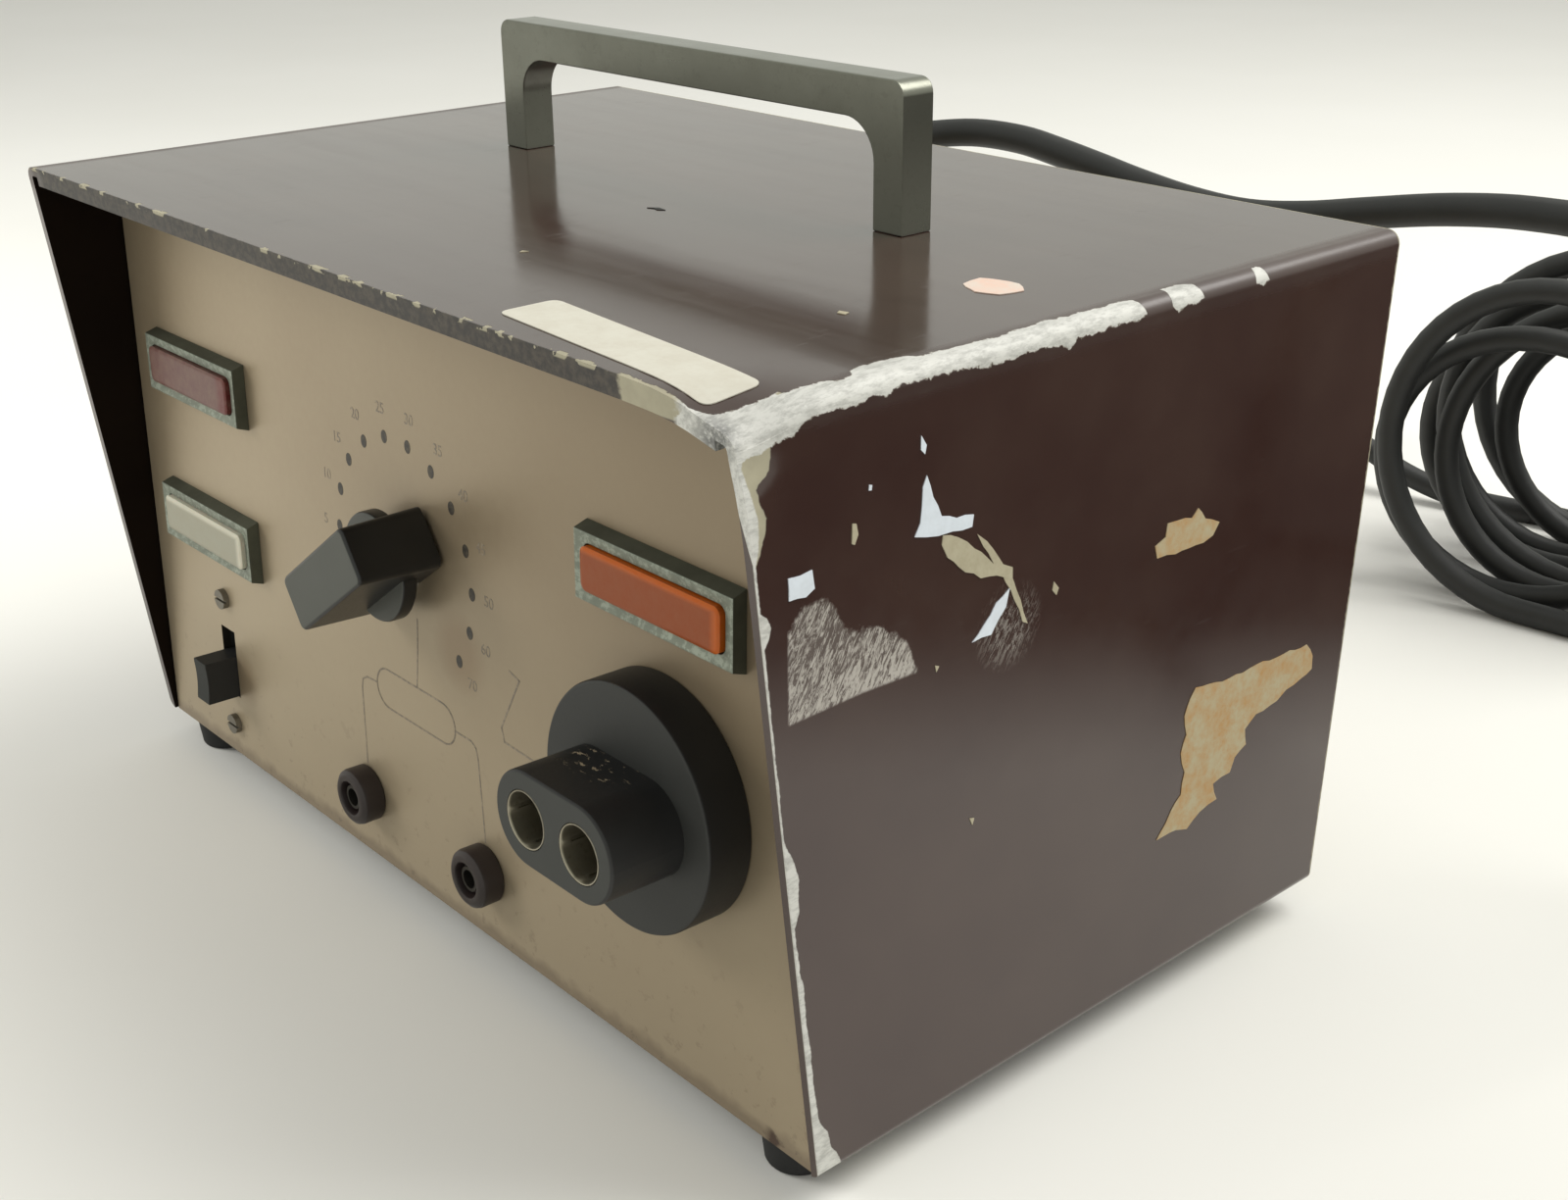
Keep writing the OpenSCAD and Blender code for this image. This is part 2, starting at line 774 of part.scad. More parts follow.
// Rounds the rear panel's upper corners
module rear_outline() {
    translate([0, (rear_y + panel_back_y) / 2, 0])
        along_y(rear_y - panel_back_y + 2)
            plate_2d(panel_w, panel_top, corner_r);
}

module upstands() {
    for (side = [-1, 1])
        translate([side * (panel_w - pan_t) / 2 - pan_t / 2, panel_back_y, sheet_t])
            cube([pan_t, rear_y - panel_back_y - pan_fold_r, upstand_h]);
}

module pan_holes() {
    for (p = foot_spots)
        translate([p[0], p[1], 0])
            cylinder(r = foot_screw_r + fit_gap, h = pan_top + 1);
    for (p = board_spots)
        translate([p[0], p[1], 0])
            cylinder(r = board_screw_r + fit_gap, h = pan_top + 1);
    for (x = panel_screw_spots)
        translate([x, panel_screw_y(), 0])
            cylinder(r = panel_screw_r + fit_gap, h = pan_top + 1);
    for (side = [-1, 1])
        translate([transformer_x + side * strap_ear_x, transformer_y, 0])
            cylinder(r = foot_screw_r + fit_gap, h = pan_top + 1);
}

module rear_holes() {
    translate([fuse_x, rear_y + 1, fuse_z])
        rotate([90, 0, 0])
            cylinder(r = fuse_r + fit_gap, h = pan_t + 2);
    translate([relief_x, rear_y + 1, relief_z])
        rotate([90, 0, 0])
            cylinder(r = relief_neck_r + fit_gap, h = pan_t + 2);
    for (i = [0 : vent_count - 1])
        translate([vent_x, rear_y, vent_z + i * vent_pitch])
            along_y(4 * pan_t)
                slot_2d(vent_w, vent_h);
}

module panel_screws() {
    color([0.6, 0.6, 0.58])
        case_frame()
            for (x = panel_screw_spots)
                translate([x, panel_screw_y(), 0])
                    pan_screw(panel_screw_r, pan_top + 1.5);
}

// Feet
module foot(i) {
    color([0.1, 0.1, 0.1])
        case_frame()
            translate([foot_spots[i][0], foot_spots[i][1], -foot_h])
                difference() {
                    rotate_extrude()
                        foot_2d();
                    translate([0, 0, -1])
                        cylinder(r = 2 * foot_screw_r + 0.5, h = 1 + foot_pocket);
                    cylinder(r = foot_screw_r + fit_gap, h = foot_h + 1);
                }
}

module foot_2d() {
    difference() {
        polygon([[0, 0], [foot_r - foot_taper, 0], [foot_r, foot_h], [0, foot_h]]);
        translate([foot_r - foot_taper - foot_round, 0])
            difference() {
                translate([0, -1])
                    square([foot_round + 1, foot_round + 1]);
                translate([0, foot_round])
                    circle(foot_round);
                translate([-1, foot_round])
                    square([foot_round + 3, 2]);
            }
    }
}

module foot_screws() {
    color([0.6, 0.6, 0.58])
        case_frame()
            for (p = foot_spots)
                translate([p[0], p[1], -foot_h + foot_pocket])
                    pan_screw(foot_screw_r, foot_h - foot_pocket + pan_top + foot_nut_t + 1);
}

module foot_nuts() {
    color([0.6, 0.6, 0.58])
        case_frame()
            for (p = foot_spots)
                translate([p[0], p[1], pan_top])
                    hex_nut(foot_nut_r, foot_screw_r + fit_gap, foot_nut_t);
}

// Handle
module handle() {
    color([0.55, 0.54, 0.48])
        case_frame()
            difference() {
                translate([layout_x, handle_mid_y, cover_h])
                    along_y(handle_d)
                        difference() {
                            plate_2d(handle_l, handle_h, grip_outer_r);
                            translate([0, -grip_r])
                                plate_2d(handle_l - 2 * post_w, handle_h - grip_t + grip_r, grip_r);
                        }
                for (x = post_spots)
                    translate([x, handle_mid_y, cover_h - 1])
                        cylinder(r = handle_screw_r + fit_gap, h = handle_screw_l + 1.5);
            }
}

module handle_screws() {
    color([0.6, 0.6, 0.58])
        case_frame()
            for (x = post_spots)
                translate([x, handle_mid_y, cover_h - sheet_t - handle_washer_t])
                    pan_screw(handle_screw_r, sheet_t + handle_washer_t + handle_screw_l);
}

module handle_washers() {
    color([0.6, 0.6, 0.58])
        case_frame()
            for (x = post_spots)
                translate([x, handle_mid_y, cover_h - sheet_t - handle_washer_t])
                    ring(handle_washer_r, handle_screw_r + fit_gap, handle_washer_t);
}

// Dial
module on_dial() {
    on_panel(layout_x, dial_v)
        rotate([0, 0, knob_angle])
            children();
}

module knob() {
    color([0.09, 0.09, 0.1])
        on_dial()
            difference() {
                union() {
                    knob_bar();
                    translate([0, 0, collar_back])
                        rotate_extrude()
                            collar_2d();
                }
                cylinder(r = knob_recess_r, h = knob_recess_top);
                cylinder(r = shaft_r + fit_gap, h = shaft_reach + 0.3);
                translate([0, 0, knob_screw_z])
                    rotate([-90, 0, 0])
                        cylinder(r = knob_screw_r + fit_gap, h = knob_w);
            }
}

module knob_bar() {
    intersection() {
        translate([0, 0, knob_gap])
            linear_extrude(knob_reach - knob_gap)
                translate([0, -knob_w / 2])
                    box_2d(knob_l, knob_w, knob_corner_r, knob_corner_r);
        along_x(knob_l + 2)
            knob_end_2d();
    }
}

// The bar seen from its end, narrower at the front and rounded along both front edges
module knob_end_2d() {
    difference() {
        polygon([[-knob_w / 2, 0], [knob_w / 2, 0],
            [knob_front_w / 2, knob_reach], [-knob_front_w / 2, knob_reach]]);
        for (side = [-1, 1])
            mirror([side < 0 ? 1 : 0, 0])
                translate([knob_front_w / 2 - knob_edge_r, knob_reach - knob_edge_r])
                    difference() {
                        square(2 * knob_edge_r);
                        circle(knob_edge_r);
                    }
    }
}

module collar_2d() {
    bevel = 0.6;
    polygon([[0, 0], [collar_r, 0], [collar_r, collar_t - bevel], [collar_r - bevel, collar_t],
        [0, collar_t]]);
}

module knob_screw() {
    color([0.5, 0.5, 0.48])
        on_dial()
            translate([0, shaft_r + fit_gap, knob_screw_z])
                rotate([-90, 0, 0])
                    cylinder(r = knob_screw_r, h = 2.2);
}

module dial_shaft() {
    color([0.6, 0.6, 0.58])
        on_dial()
            translate([0, 0, -panel_t - pot_d + 2])
                cylinder(r = shaft_r, h = shaft_reach + panel_t + pot_d - 2);
}

module dial_pot() {
    color([0.3, 0.3, 0.32])
        on_panel(layout_x, dial_v)
            difference() {
                union() {
                    translate([0, 0, -panel_t - pot_d])
                        cylinder(r = pot_r, h = pot_d);
                    translate([0, 0, -panel_t])
                        cylinder(r = bush_r, h = panel_t + bush_reach);
                    for (i = [-1 : 1])
                        translate([i * 5 - 1, -pot_r - 5, -panel_t - pot_d / 2])
                            cube([2, 8, 0.8]);
                }
                translate([0, 0, -panel_t - pot_d + 1])
                    cylinder(r = shaft_r + shaft_gap, h = pot_d + panel_t + bush_reach);
            }
}

module dial_nut() {
    color([0.6, 0.6, 0.58])
        on_panel(layout_x, dial_v)
            hex_nut(bush_nut_r, bush_r + fit_gap, bush_nut_t);
}

// Lamps
module bezel(i) {
    color([0.6, 0.6, 0.54])
        on_panel(lamp_spots[i][0], lamp_spots[i][1])
            difference() {
                union() {
                    along_x(bezel_w)
                        polygon([[-bezel_h / 2, 0], [bezel_h / 2, 0],
                            [bezel_front_h / 2, bezel_reach], [-bezel_front_h / 2, bezel_reach]]);
                    translate([-sleeve_w / 2, -sleeve_h / 2, -panel_t - sleeve_d])
                        cube([sleeve_w, sleeve_h, panel_t + sleeve_d + 1]);
                }
                translate([-sleeve_w / 2 + sleeve_t, -sleeve_h / 2 + sleeve_t, -panel_t - sleeve_d - 1])
                    cube([sleeve_w - 2 * sleeve_t, sleeve_h - 2 * sleeve_t, 60]);
            }
}

// A lens with a shallow bevel round its front
module lens(i, shade) {
    bevel = 0.6;
    front = bezel_reach + lens_proud;
    color(shade)
        on_panel(lamp_spots[i][0], lamp_spots[i][1])
            intersection() {
                along_x(lens_w)
                    polygon([[-lens_h / 2, front - lens_depth], [lens_h / 2, front - lens_depth],
                        [lens_h / 2, front - bevel], [lens_h / 2 - bevel, front],
                        [-lens_h / 2 + bevel, front], [-lens_h / 2, front - bevel]]);
                along_y(lens_h + 2)
                    polygon([[-lens_w / 2, front - lens_depth], [lens_w / 2, front - lens_depth],
                        [lens_w / 2, front - bevel], [lens_w / 2 - bevel, front],
                        [-lens_w / 2 + bevel, front], [-lens_w / 2, front - bevel]]);
            }
}

module lamp_holders() {
    inner_w = lens_w + 2 * lens_gap - 2 * fit_gap;
    inner_h = lens_h + 2 * lens_gap - 2 * fit_gap;
    color([0.12, 0.12, 0.12])
        for (p = lamp_spots)
            on_panel(p[0], p[1])
                difference() {
                    union() {
                        translate([-inner_w / 2, -inner_h / 2, -panel_t - sleeve_d])
                            cube([inner_w, inner_h, bulb_seat]);
                        translate([-sleeve_w / 2, -sleeve_h / 2, -panel_t - sleeve_d - holder_d])
                            cube([sleeve_w, sleeve_h, holder_d]);
                    }
                    translate([0, 0, -panel_t - sleeve_d - bulb_seat])
                        cylinder(r = bulb_r + fit_gap, h = 2 * bulb_seat + 2);
                }
}

module lamp_bulbs() {
    color([0.9, 0.8, 0.6])
        for (p = lamp_spots)
            on_panel(p[0], p[1])
                translate([0, 0, -panel_t - sleeve_d - bulb_seat]) {
                    cylinder(r = bulb_r, h = bulb_l);
                    translate([0, 0, bulb_l])
                        sphere(bulb_r);
                }
}

// Two springs a lamp, wedged between its sleeve and the panel's back
module lamp_clips() {
    color([0.6, 0.6, 0.58])
        for (p = lamp_spots)
            for (side = [-1, 1])
                on_panel(p[0], p[1])
                    mirror([side < 0 ? 1 : 0, 0, 0])
                        translate([sleeve_w / 2, 0, -panel_t])
                            rotate([90, 0, 0])
                                linear_extrude(clip_w, center = true)
                                    polygon([[0, -clip_l], [clip_t, -clip_l], [clip_t, -clip_bend],
                                        [clip_bend, 0], [clip_bend - 1.3 * clip_t, 0],
                                        [0, -clip_bend + clip_t]]);
}

// Jacks
module jack(i) {
    color([0.2, 0.09, 0.1])
        on_panel(jack_u[i], jack_v)
            difference() {
                rotate_extrude()
                    jack_2d();
                translate([0, 0, -panel_t - jack_shank_d - 1])
                    cylinder(r = socket_r + socket_wall + fit_gap, h = 60);
            }
}

module jack_2d() {
    bevel = 1.2;
    polygon([[0, -panel_t - jack_shank_d], [jack_shank_r, -panel_t - jack_shank_d],
        [jack_shank_r, 0], [jack_r, 0], [jack_r, jack_reach - bevel], [jack_r - bevel, jack_reach],
        [0, jack_reach]]);
}

module jack_sleeve(i) {
    front = jack_reach - socket_recess;
    color([0.7, 0.62, 0.4])
        on_panel(jack_u[i], jack_v)
            difference() {
                union() {
                    translate([0, 0, front - socket_depth - 1.5])
                        cylinder(r = socket_r + socket_wall, h = socket_depth + 1.5);
                    translate([0, 0, front - socket_depth - 6])
                        cylinder(r = 1, h = 5);
                }
                translate([0, 0, front - socket_depth])
                    cylinder(r = socket_r, h = socket_depth + 1);
            }
}

module jack_nuts() {
    color([0.6, 0.6, 0.58])
        for (u = jack_u)
            on_panel(u, jack_v)
                translate([0, 0, -panel_t - jack_nut_t])
                    hex_nut(jack_nut_r, jack_shank_r + fit_gap, jack_nut_t);
}

// Output connector: a round flange with a two-pole boss, its shank held by a ring nut
module on_connector() {
    on_panel(layout_x + side_u, connector_v)
        children();
}

module connector_body() {
    color([0.1, 0.1, 0.11])
        on_connector()
            difference() {
                union() {
                    rotate_extrude($fn = 96)
                        flange_2d();
                    translate([0, 0, flange_t - 1])
                        linear_extrude(boss_reach - flange_t + 1)
                            slot_2d(boss_w, boss_h);
                    translate([0, 0, -panel_t - shank_d])
                        cylinder(r = shank_r, h = panel_t + shank_d + 1);
                }
                for (side = [-1, 1])
                    translate([side * contact_pitch / 2, 0, -panel_t - shank_d - 1])
                        cylinder(r = contact_r + fit_gap, h = 60);
            }
}

module flange_2d() {
    bevel = 0.8;
    polygon([[0, 0], [flange_r, 0], [flange_r, flange_t - bevel], [flange_r - bevel, flange_t],
        [0, flange_t]]);
}

module contact(side) {
    color([0.66, 0.62, 0.48])
        on_connector()
            translate([side * contact_pitch / 2, 0, 0])
                rotate_extrude()
                    contact_2d();
}

// Wall of a contact: bevelled rim, wide mouth, narrow bore and a closed end with a solder tail
module contact_2d() {
    rim = 0.5;
    polygon([[0, contact_end - tail_l], [tail_r, contact_end - tail_l], [tail_r, contact_end - 1.5],
        [contact_r, contact_end - 1.5], [contact_r, boss_reach], [mouth_r + rim, boss_reach],
        [mouth_r, boss_reach - rim], [mouth_r, boss_reach - mouth_d],
        [pin_r, boss_reach - mouth_d], [pin_r, contact_end], [0, contact_end]]);
}

module connector_nut() {
    color([0.5, 0.5, 0.5])
        on_connector()
            translate([0, 0, -panel_t - ring_nut_t])
                difference() {
                    ring(shank_r + 3.5, shank_r + fit_gap, ring_nut_t);
                    for (a = [0 : 90 : 270])
                        rotate([0, 0, a])
                            translate([shank_r + 2, -1.5, -1])
                                cube([4, 3, ring_nut_t + 2]);
                }
}

// Slide switch
module on_switch(v) {
    on_panel(red_u, v)
        children();
}

module switch_body() {
    cavity_w = slider_foot_w + 2 * slider_gap;
    cavity_h = slider_foot_h + slider_travel + 2 * slider_gap;
    cavity_d = slider_foot_t + 2 * slider_gap;
    color([0.13, 0.13, 0.14])
        on_switch(switch_v)
            difference() {
                union() {
                    translate([-switch_w / 2, -switch_h / 2, -panel_t - 2])
                        cube([switch_w, switch_h, 2]);
                    translate([-switch_w / 2, -ear_u + 5, -panel_t - switch_d])
                        cube([switch_w, 2 * ear_u - 10, switch_d]);
                    for (i = [-1 : 1])
                        translate([-1.5, i * 7 - 0.4, -panel_t - switch_d - 4])
                            cube([3, 0.8, 5]);
                }
                translate([-slot_w / 2, -slot_h / 2, -panel_t - switch_wall - 0.5])
                    cube([slot_w, slot_h, switch_wall + 1]);
                translate([-cavity_w / 2, -cavity_h / 2, -panel_t - switch_wall - cavity_d])
                    cube([cavity_w, cavity_h, cavity_d]);
                for (side = [-1, 1])
                    translate([0, side * ear_u, -panel_t - 3])
                        cylinder(r = switch_screw_r + fit_gap, h = 4);
            }
}

// Thumb piece with a hollowed front, passing the slot to a wider foot that the case keeps in
module switch_slider() {
    foot_z = -panel_t - switch_wall - slider_gap - slider_foot_t;
    dish_r = 14;
    color([0.08, 0.08, 0.09])
        on_switch(slider_rest_v)
            difference() {
                union() {
                    translate([-slider_w / 2, -slider_h / 2, foot_z])
                        cube([slider_w, slider_h, slider_reach - foot_z]);
                    translate([-slider_foot_w / 2, -slider_foot_h / 2, foot_z])
                        cube([slider_foot_w, slider_foot_h, slider_foot_t]);
                }
                translate([0, 0, slider_reach + dish_r - 0.8])
                    rotate([0, 90, 0])
                        cylinder(r = dish_r, h = slider_w + 2, center = true, $fn = 96);
            }
}

// Two screws through the panel and the switch's ears, with their nuts
module switch_fixings() {
    color([0.6, 0.6, 0.58])
        for (side = [-1, 1])
            on_switch(switch_v + side * ear_u) {
                rotate([180, 0, 0])
                    pan_screw(switch_screw_r, panel_t + 5);
                translate([0, 0, -panel_t - 4])
                    cylinder(r = 2 * switch_screw_r, h = 2, $fn = 6);
            }
}

// Circuit board and what stands on it
module circuit_board() {
    color([0.25, 0.35, 0.2])
        case_frame()
            difference() {
                translate([board_x, board_y, board_top - board_t])
                    cube([board_w, board_d, board_t]);
                for (p = board_spots)
                    translate([p[0], p[1], board_top - board_t - 1])
                        cylinder(r = board_screw_r + fit_gap, h = board_t + 2);
            }
}

module board_standoffs() {
    color([0.6, 0.6, 0.58])
        case_frame()
            for (p = board_spots)
                translate([p[0], p[1], pan_top])
                    ring(standoff_r, board_screw_r + fit_gap, standoff_h);
}

// Long screws from under the pan, through the standoffs and the board, each with its nut
module board_screws() {
    color([0.6, 0.6, 0.58])
        case_frame()
            for (p = board_spots)
                translate([p[0], p[1], sheet_t]) {
                    pan_screw(board_screw_r, board_top - sheet_t + 4);
                    translate([0, 0, board_top - sheet_t])
                        cylinder(r = 2.1 * board_screw_r, h = 2.4, $fn = 6);
                }
}

module output_coil() {
    color([0.5, 0.25, 0.12])
        case_frame()
            translate([toroid_spot[0], toroid_spot[1], board_top + toroid_wire_r])
                rotate_extrude()
                    translate([toroid_r, 0])
                        circle(toroid_wire_r);
}

module capacitors() {
    color([0.2, 0.25, 0.4])
        case_frame()
            for (p = capacitor_spots)
                translate([p[0], p[1], board_top])
                    rotate_extrude()
                        polygon([[0, 0], [capacitor_r, 0], [capacitor_r, 1.5],
                            [capacitor_r - 0.5, 2], [capacitor_r - 0.5, 2.6], [capacitor_r, 3.1],
                            [capacitor_r, capacitor_h - 0.6], [capacitor_r - 0.6, capacitor_h],
                            [0, capacitor_h]]);
}

module relay() {
    groove = 1.6;
    color([0.75, 0.72, 0.6])
        case_frame()
            translate([relay_spot[0], relay_spot[1], board_top])
                difference() {
                    translate([-relay_w / 2, -relay_d / 2, 0])
                        cube([relay_w, relay_d, relay_h]);
                    for (side = [-1, 1])
                        translate([side * relay_w / 2, 0, relay_h])
                            rotate([0, 45, 0])
                                cube([groove, relay_d + 2, groove], center = true);
                }
}

module heat_sink() {
    color([0.3, 0.3, 0.31])
        case_frame()
            translate([sink_x, sink_y, board_top])
                linear_extrude(sink_h) {
                    square([sink_plate_t, sink_d]);
                    for (i = [0 : fin_count - 1])
                        translate([sink_plate_t - 0.1, i * (sink_d - fin_t) / (fin_count - 1)])
                            square([fin_l + 0.1, fin_t]);
                }
}

// Metal-can transistor on the heat sink's flat face
module power_transistor() {
    ear_x = 15;
    can_r = 10.5;
    can_h = 7;
    flange_h = 1.6;
    color([0.62, 0.6, 0.56])
        case_frame()
            translate([sink_x, sink_y + sink_d / 2, board_top + sink_h / 2])
                rotate([0, -90, 0]) {
                    linear_extrude(flange_h) {
                        circle(can_r + 2);
                        for (side = [-1, 1])
                            translate([0, side * ear_x])
                                circle(4.4);
                        polygon([[4.2, ear_x + 1], [12, 3], [12, -3], [4.2, -ear_x - 1],
                            [-4.2, -ear_x - 1], [-12, -3], [-12, 3], [-4.2, ear_x + 1]]);
                    }
                    cylinder(r = can_r, h = can_h);
                }
}

// Mains transformer: laminated core, winding through its windows, strap over it
module on_transformer() {
    case_frame()
        translate([transformer_x, transformer_y, pan_top])
            children();
}

module transformer_core() {
    color([0.35, 0.33, 0.31])
        on_transformer()
            along_y(core_d)
                difference() {
                    translate([-core_w / 2, 0])
                        square([core_w, core_h]);
                    for (side = [-1, 1])
                        translate([side * (leg_w + window_w / 2) - window_w / 2, leg_w])
                            square([window_w, core_h - 2 * leg_w]);
                }
}

module transformer_winding() {
    gap = 0.3;
    low = leg_w + gap;
    high = core_h - leg_w - gap;
    reach = leg_w + winding_reach;
    depth = core_d / 2 + winding_reach;
    color([0.6, 0.45, 0.2])
        on_transformer()
            difference() {
                translate([0, 0, low])
                    linear_extrude(high - low)
                        translate([0, -depth])
                            box_2d(2 * reach, 2 * depth, 3, 3);
                translate([-leg_w - gap, -core_d / 2 - gap, 0])
                    cube([2 * (leg_w + gap), core_d + 2 * gap, core_h]);
            }
}

module transformer_frame() {
    strap_d = core_d - 6;
    color([0.5, 0.5, 0.48])
        on_transformer()
            difference() {
                union() {
                    along_y(strap_d)
                        difference() {
                            translate([-core_w / 2 - strap_t, 0])
                                square([core_w + 2 * strap_t, core_h + strap_t]);
                            translate([-core_w / 2, -1])
                                square([core_w, core_h + 1]);
                        }
                    for (side = [-1, 1])
                        translate([side * strap_ear_x - strap_ear_w / 2 - 0.5, -strap_d / 2, 0])
                            cube([strap_ear_w + 1, strap_d, strap_t]);
                }
                for (side = [-1, 1])
                    translate([side * strap_ear_x, 0, -1])
                        cylinder(r = foot_screw_r + fit_gap, h = strap_t + 2);
            }
}

// Screws from under the pan, each with its nut on the strap's ear
module transformer_screws() {
    color([0.6, 0.6, 0.58])
        on_transformer()
            for (side = [-1, 1])
                translate([side * strap_ear_x, 0, -pan_t]) {
                    pan_screw(foot_screw_r, pan_t + strap_t + 4);
                    translate([0, 0, pan_t + strap_t])
                        cylinder(r = foot_nut_r, h = foot_nut_t, $fn = 6);
                }
}

// Rear fittings
module fuse_holder() {
    color([0.1, 0.1, 0.1])
        on_rear(fuse_x, fuse_z)
            difference() {
                union() {
                    cylinder(r = fuse_r + 2.3, h = fuse_rim_t);
                    translate([0, 0, -pan_t - fuse_d])
                        cylinder(r = fuse_r, h = pan_t + fuse_d + 1);
                    translate([0, 0, -pan_t - 3])
                        cylinder(r = fuse_r + 2.5, h = 3, $fn = 6);
                    translate([0, 0, -pan_t - fuse_d - 7])
                        cylinder(r = 1.5, h = 8);
                }
                translate([0, 0, -pan_t - fuse_d + 3])
                    cylinder(r = fuse_bore_r + 0.7, h = 60);
            }
}

// Fluted cap that screws into the holder and keeps the fuse in it
module fuse_cap() {
    cap_r = fuse_r + 0.4;
    cap_t = 8;
    flutes = 12;
    color([0.1, 0.1, 0.1])
        on_rear(fuse_x, fuse_z)
            translate([0, 0, fuse_rim_t])
                difference() {
                    union() {
                        cylinder(r = cap_r, h = cap_t);
                        translate([0, 0, -6])
                            cylinder(r = fuse_bore_r + 0.7 - fit_gap, h = 7);
                    }
                    for (i = [0 : flutes - 1])
                        rotate([0, 0, i * 360 / flutes])
                            translate([cap_r + 0.5, 0, 1.5])
                                cylinder(r = 1, h = cap_t, $fn = 16);
                    translate([-cap_r, -0.6, cap_t - 1])
                        cube([2 * cap_r, 1.2, 2]);
                    translate([0, 0, -7])
                        cylinder(r = fuse_glass_r + fit_gap, h = 5);
                }
}

module fuse() {
    fuse_l = pan_t + fuse_d - 3 + fuse_rim_t - 2;
    color([0.8, 0.8, 0.75])
        on_rear(fuse_x, fuse_z)
            translate([0, 0, -pan_t - fuse_d + 3])
                cylinder(r = fuse_glass_r, h = fuse_l - 0.2);
}

// Rubber strain relief: collar inside, neck through the panel, rim and ribbed taper outside
module strain_relief() {
    color([0.07, 0.07, 0.07])
        on_rear(relief_x, relief_z)
            rotate_extrude()
                relief_2d();
}

module relief_2d() {
    base = 6;
    tip = cord_r + 1;
    collar_t = 2;
    ribs = 5;
    rib_pitch = relief_l / ribs;
    outline = [for (i = [0 : ribs - 1]) for (k = [0, 1])
        [base + (tip - base) * (i + 0.6 * k) / ribs - (k > 0 ? 0.5 : 0),
            relief_rim_t + rib_pitch * (i + 0.6 * k)]];
    polygon(concat([[0, -pan_t - collar_t], [relief_rim_r - 1, -pan_t - collar_t],
        [relief_rim_r - 1, -pan_t], [relief_neck_r, -pan_t], [relief_neck_r, 0],
        [relief_rim_r, 0], [relief_rim_r, relief_rim_t - 0.8], [relief_rim_r - 0.8, relief_rim_t]],
        outline, [[tip, relief_rim_t + relief_l], [0, relief_rim_t + relief_l]]));
}

// Mains cord
// Directions square to the path, carried along from the first one
function heading(p, i) = unit(p[min(i + 1, len(p) - 1)] - p[max(i - 1, 0)]);
function square_to(n, t) = unit(n - (n * t) * t);
function carried(p, first) = [for (i = 0, n = square_to(first, heading(p, 0)); i < len(p);
    i = i + 1, n = i < len(p) ? square_to(n, heading(p, i)) : n) n];

// One closed tube swept along the path, its faces triangles
module tube(path, r, sides, first) {
    normals = carried(path, first);
    corners = [for (i = [0 : len(path) - 1]) for (k = [0 : sides - 1])
        path[i] + r * cos(360 * k / sides) * normals[i]
            + r * sin(360 * k / sides) * cross(heading(path, i), normals[i])];
    last = (len(path) - 1) * sides;
    walls = [for (i = [0 : len(path) - 2]) for (k = [0 : sides - 1]) for (half = [0, 1])
        let (a = i * sides + k, b = i * sides + (k + 1) % sides)
        half == 0 ? [a, a + sides, b + sides] : [a, b + sides, b]];
    caps = [for (k = [1 : sides - 2]) for (end = [0, 1])
        end == 0 ? [0, k, k + 1] : [last, last + k + 1, last + k]];
    polyhedron(points = corners, faces = concat(walls, caps));
}

module cord_lead() {
    color([0.07, 0.07, 0.07])
        tube(lead_path, cord_r, lead_sides, [0, 0, -1]);
}

module cord_coil() {
    color([0.07, 0.07, 0.07])
        tube(coil_path, cord_r, coil_sides, [0, 0, -1]);
}

module cord_tail() {
    color([0.07, 0.07, 0.07])
        tube(tail_path, cord_r, lead_sides, [0, 0, -1]);
}

// The plug lies on its side, its cord end at plug_tip and its blades towards -X
module on_plug() {
    translate(plug_tip)
        rotate([0, -90, 0])
            children();
}

module plug() {
    neck_r = cord_r + 1.6;
    color([0.1, 0.1, 0.1])
        on_plug()
            rotate_extrude()
                polygon([[0, 0], [neck_r, 0], [neck_r + 2, plug_neck_l],
                    [plug_r - 1.5, plug_neck_l + plug_flare_l], [plug_r, plug_neck_l + plug_flare_l + 2],
                    [plug_r, plug_neck_l + plug_flare_l + plug_l - 1.5],
                    [plug_r - 1.5, plug_neck_l + plug_flare_l + plug_l],
                    [0, plug_neck_l + plug_flare_l + plug_l]]);
}

module plug_blades() {
    blade_w = 6.4;
    blade_t = 1.5;
    blade_u = 6.35;
    earth_r = 2.38;
    earth_drop = 8;
    color([0.72, 0.66, 0.42])
        on_plug()
            translate([0, 0, plug_neck_l + plug_flare_l + plug_l]) {
                for (side = [-1, 1])
                    translate([4 - blade_w / 2, side * blade_u - blade_t / 2, 0])
                        cube([blade_w, blade_t, blade_l]);
                translate([-earth_drop, 0, 0])
                    cylinder(r = earth_r, h = blade_l + 3);
            }
}

cover();
front_panel();
chassis();
panel_screws();
foot(0);  // foot_front_left
foot(1);  // foot_front_right
foot(2);  // foot_rear_left
foot(3);  // foot_rear_right
foot_screws();
foot_nuts();
handle();
handle_screws();
handle_washers();
knob();
knob_screw();
dial_shaft();
dial_pot();
dial_nut();
bezel(0);  // amber_bezel
bezel(1);  // red_bezel
bezel(2);  // white_bezel
lens(0, [0.75, 0.4, 0.1]);  // amber_lens
lens(1, [0.6, 0.15, 0.1]);  // red_lens
lens(2, [0.85, 0.85, 0.8]);  // white_lens
lamp_holders();
lamp_bulbs();
lamp_clips();
jack(0);  // jack_left
jack(1);  // jack_right
jack_sleeve(0);  // jack_sleeve_left
jack_sleeve(1);  // jack_sleeve_right
jack_nuts();
connector_body();
contact(-1);  // contact_left
contact(1);  // contact_right
connector_nut();
switch_body();
switch_slider();
switch_fixings();
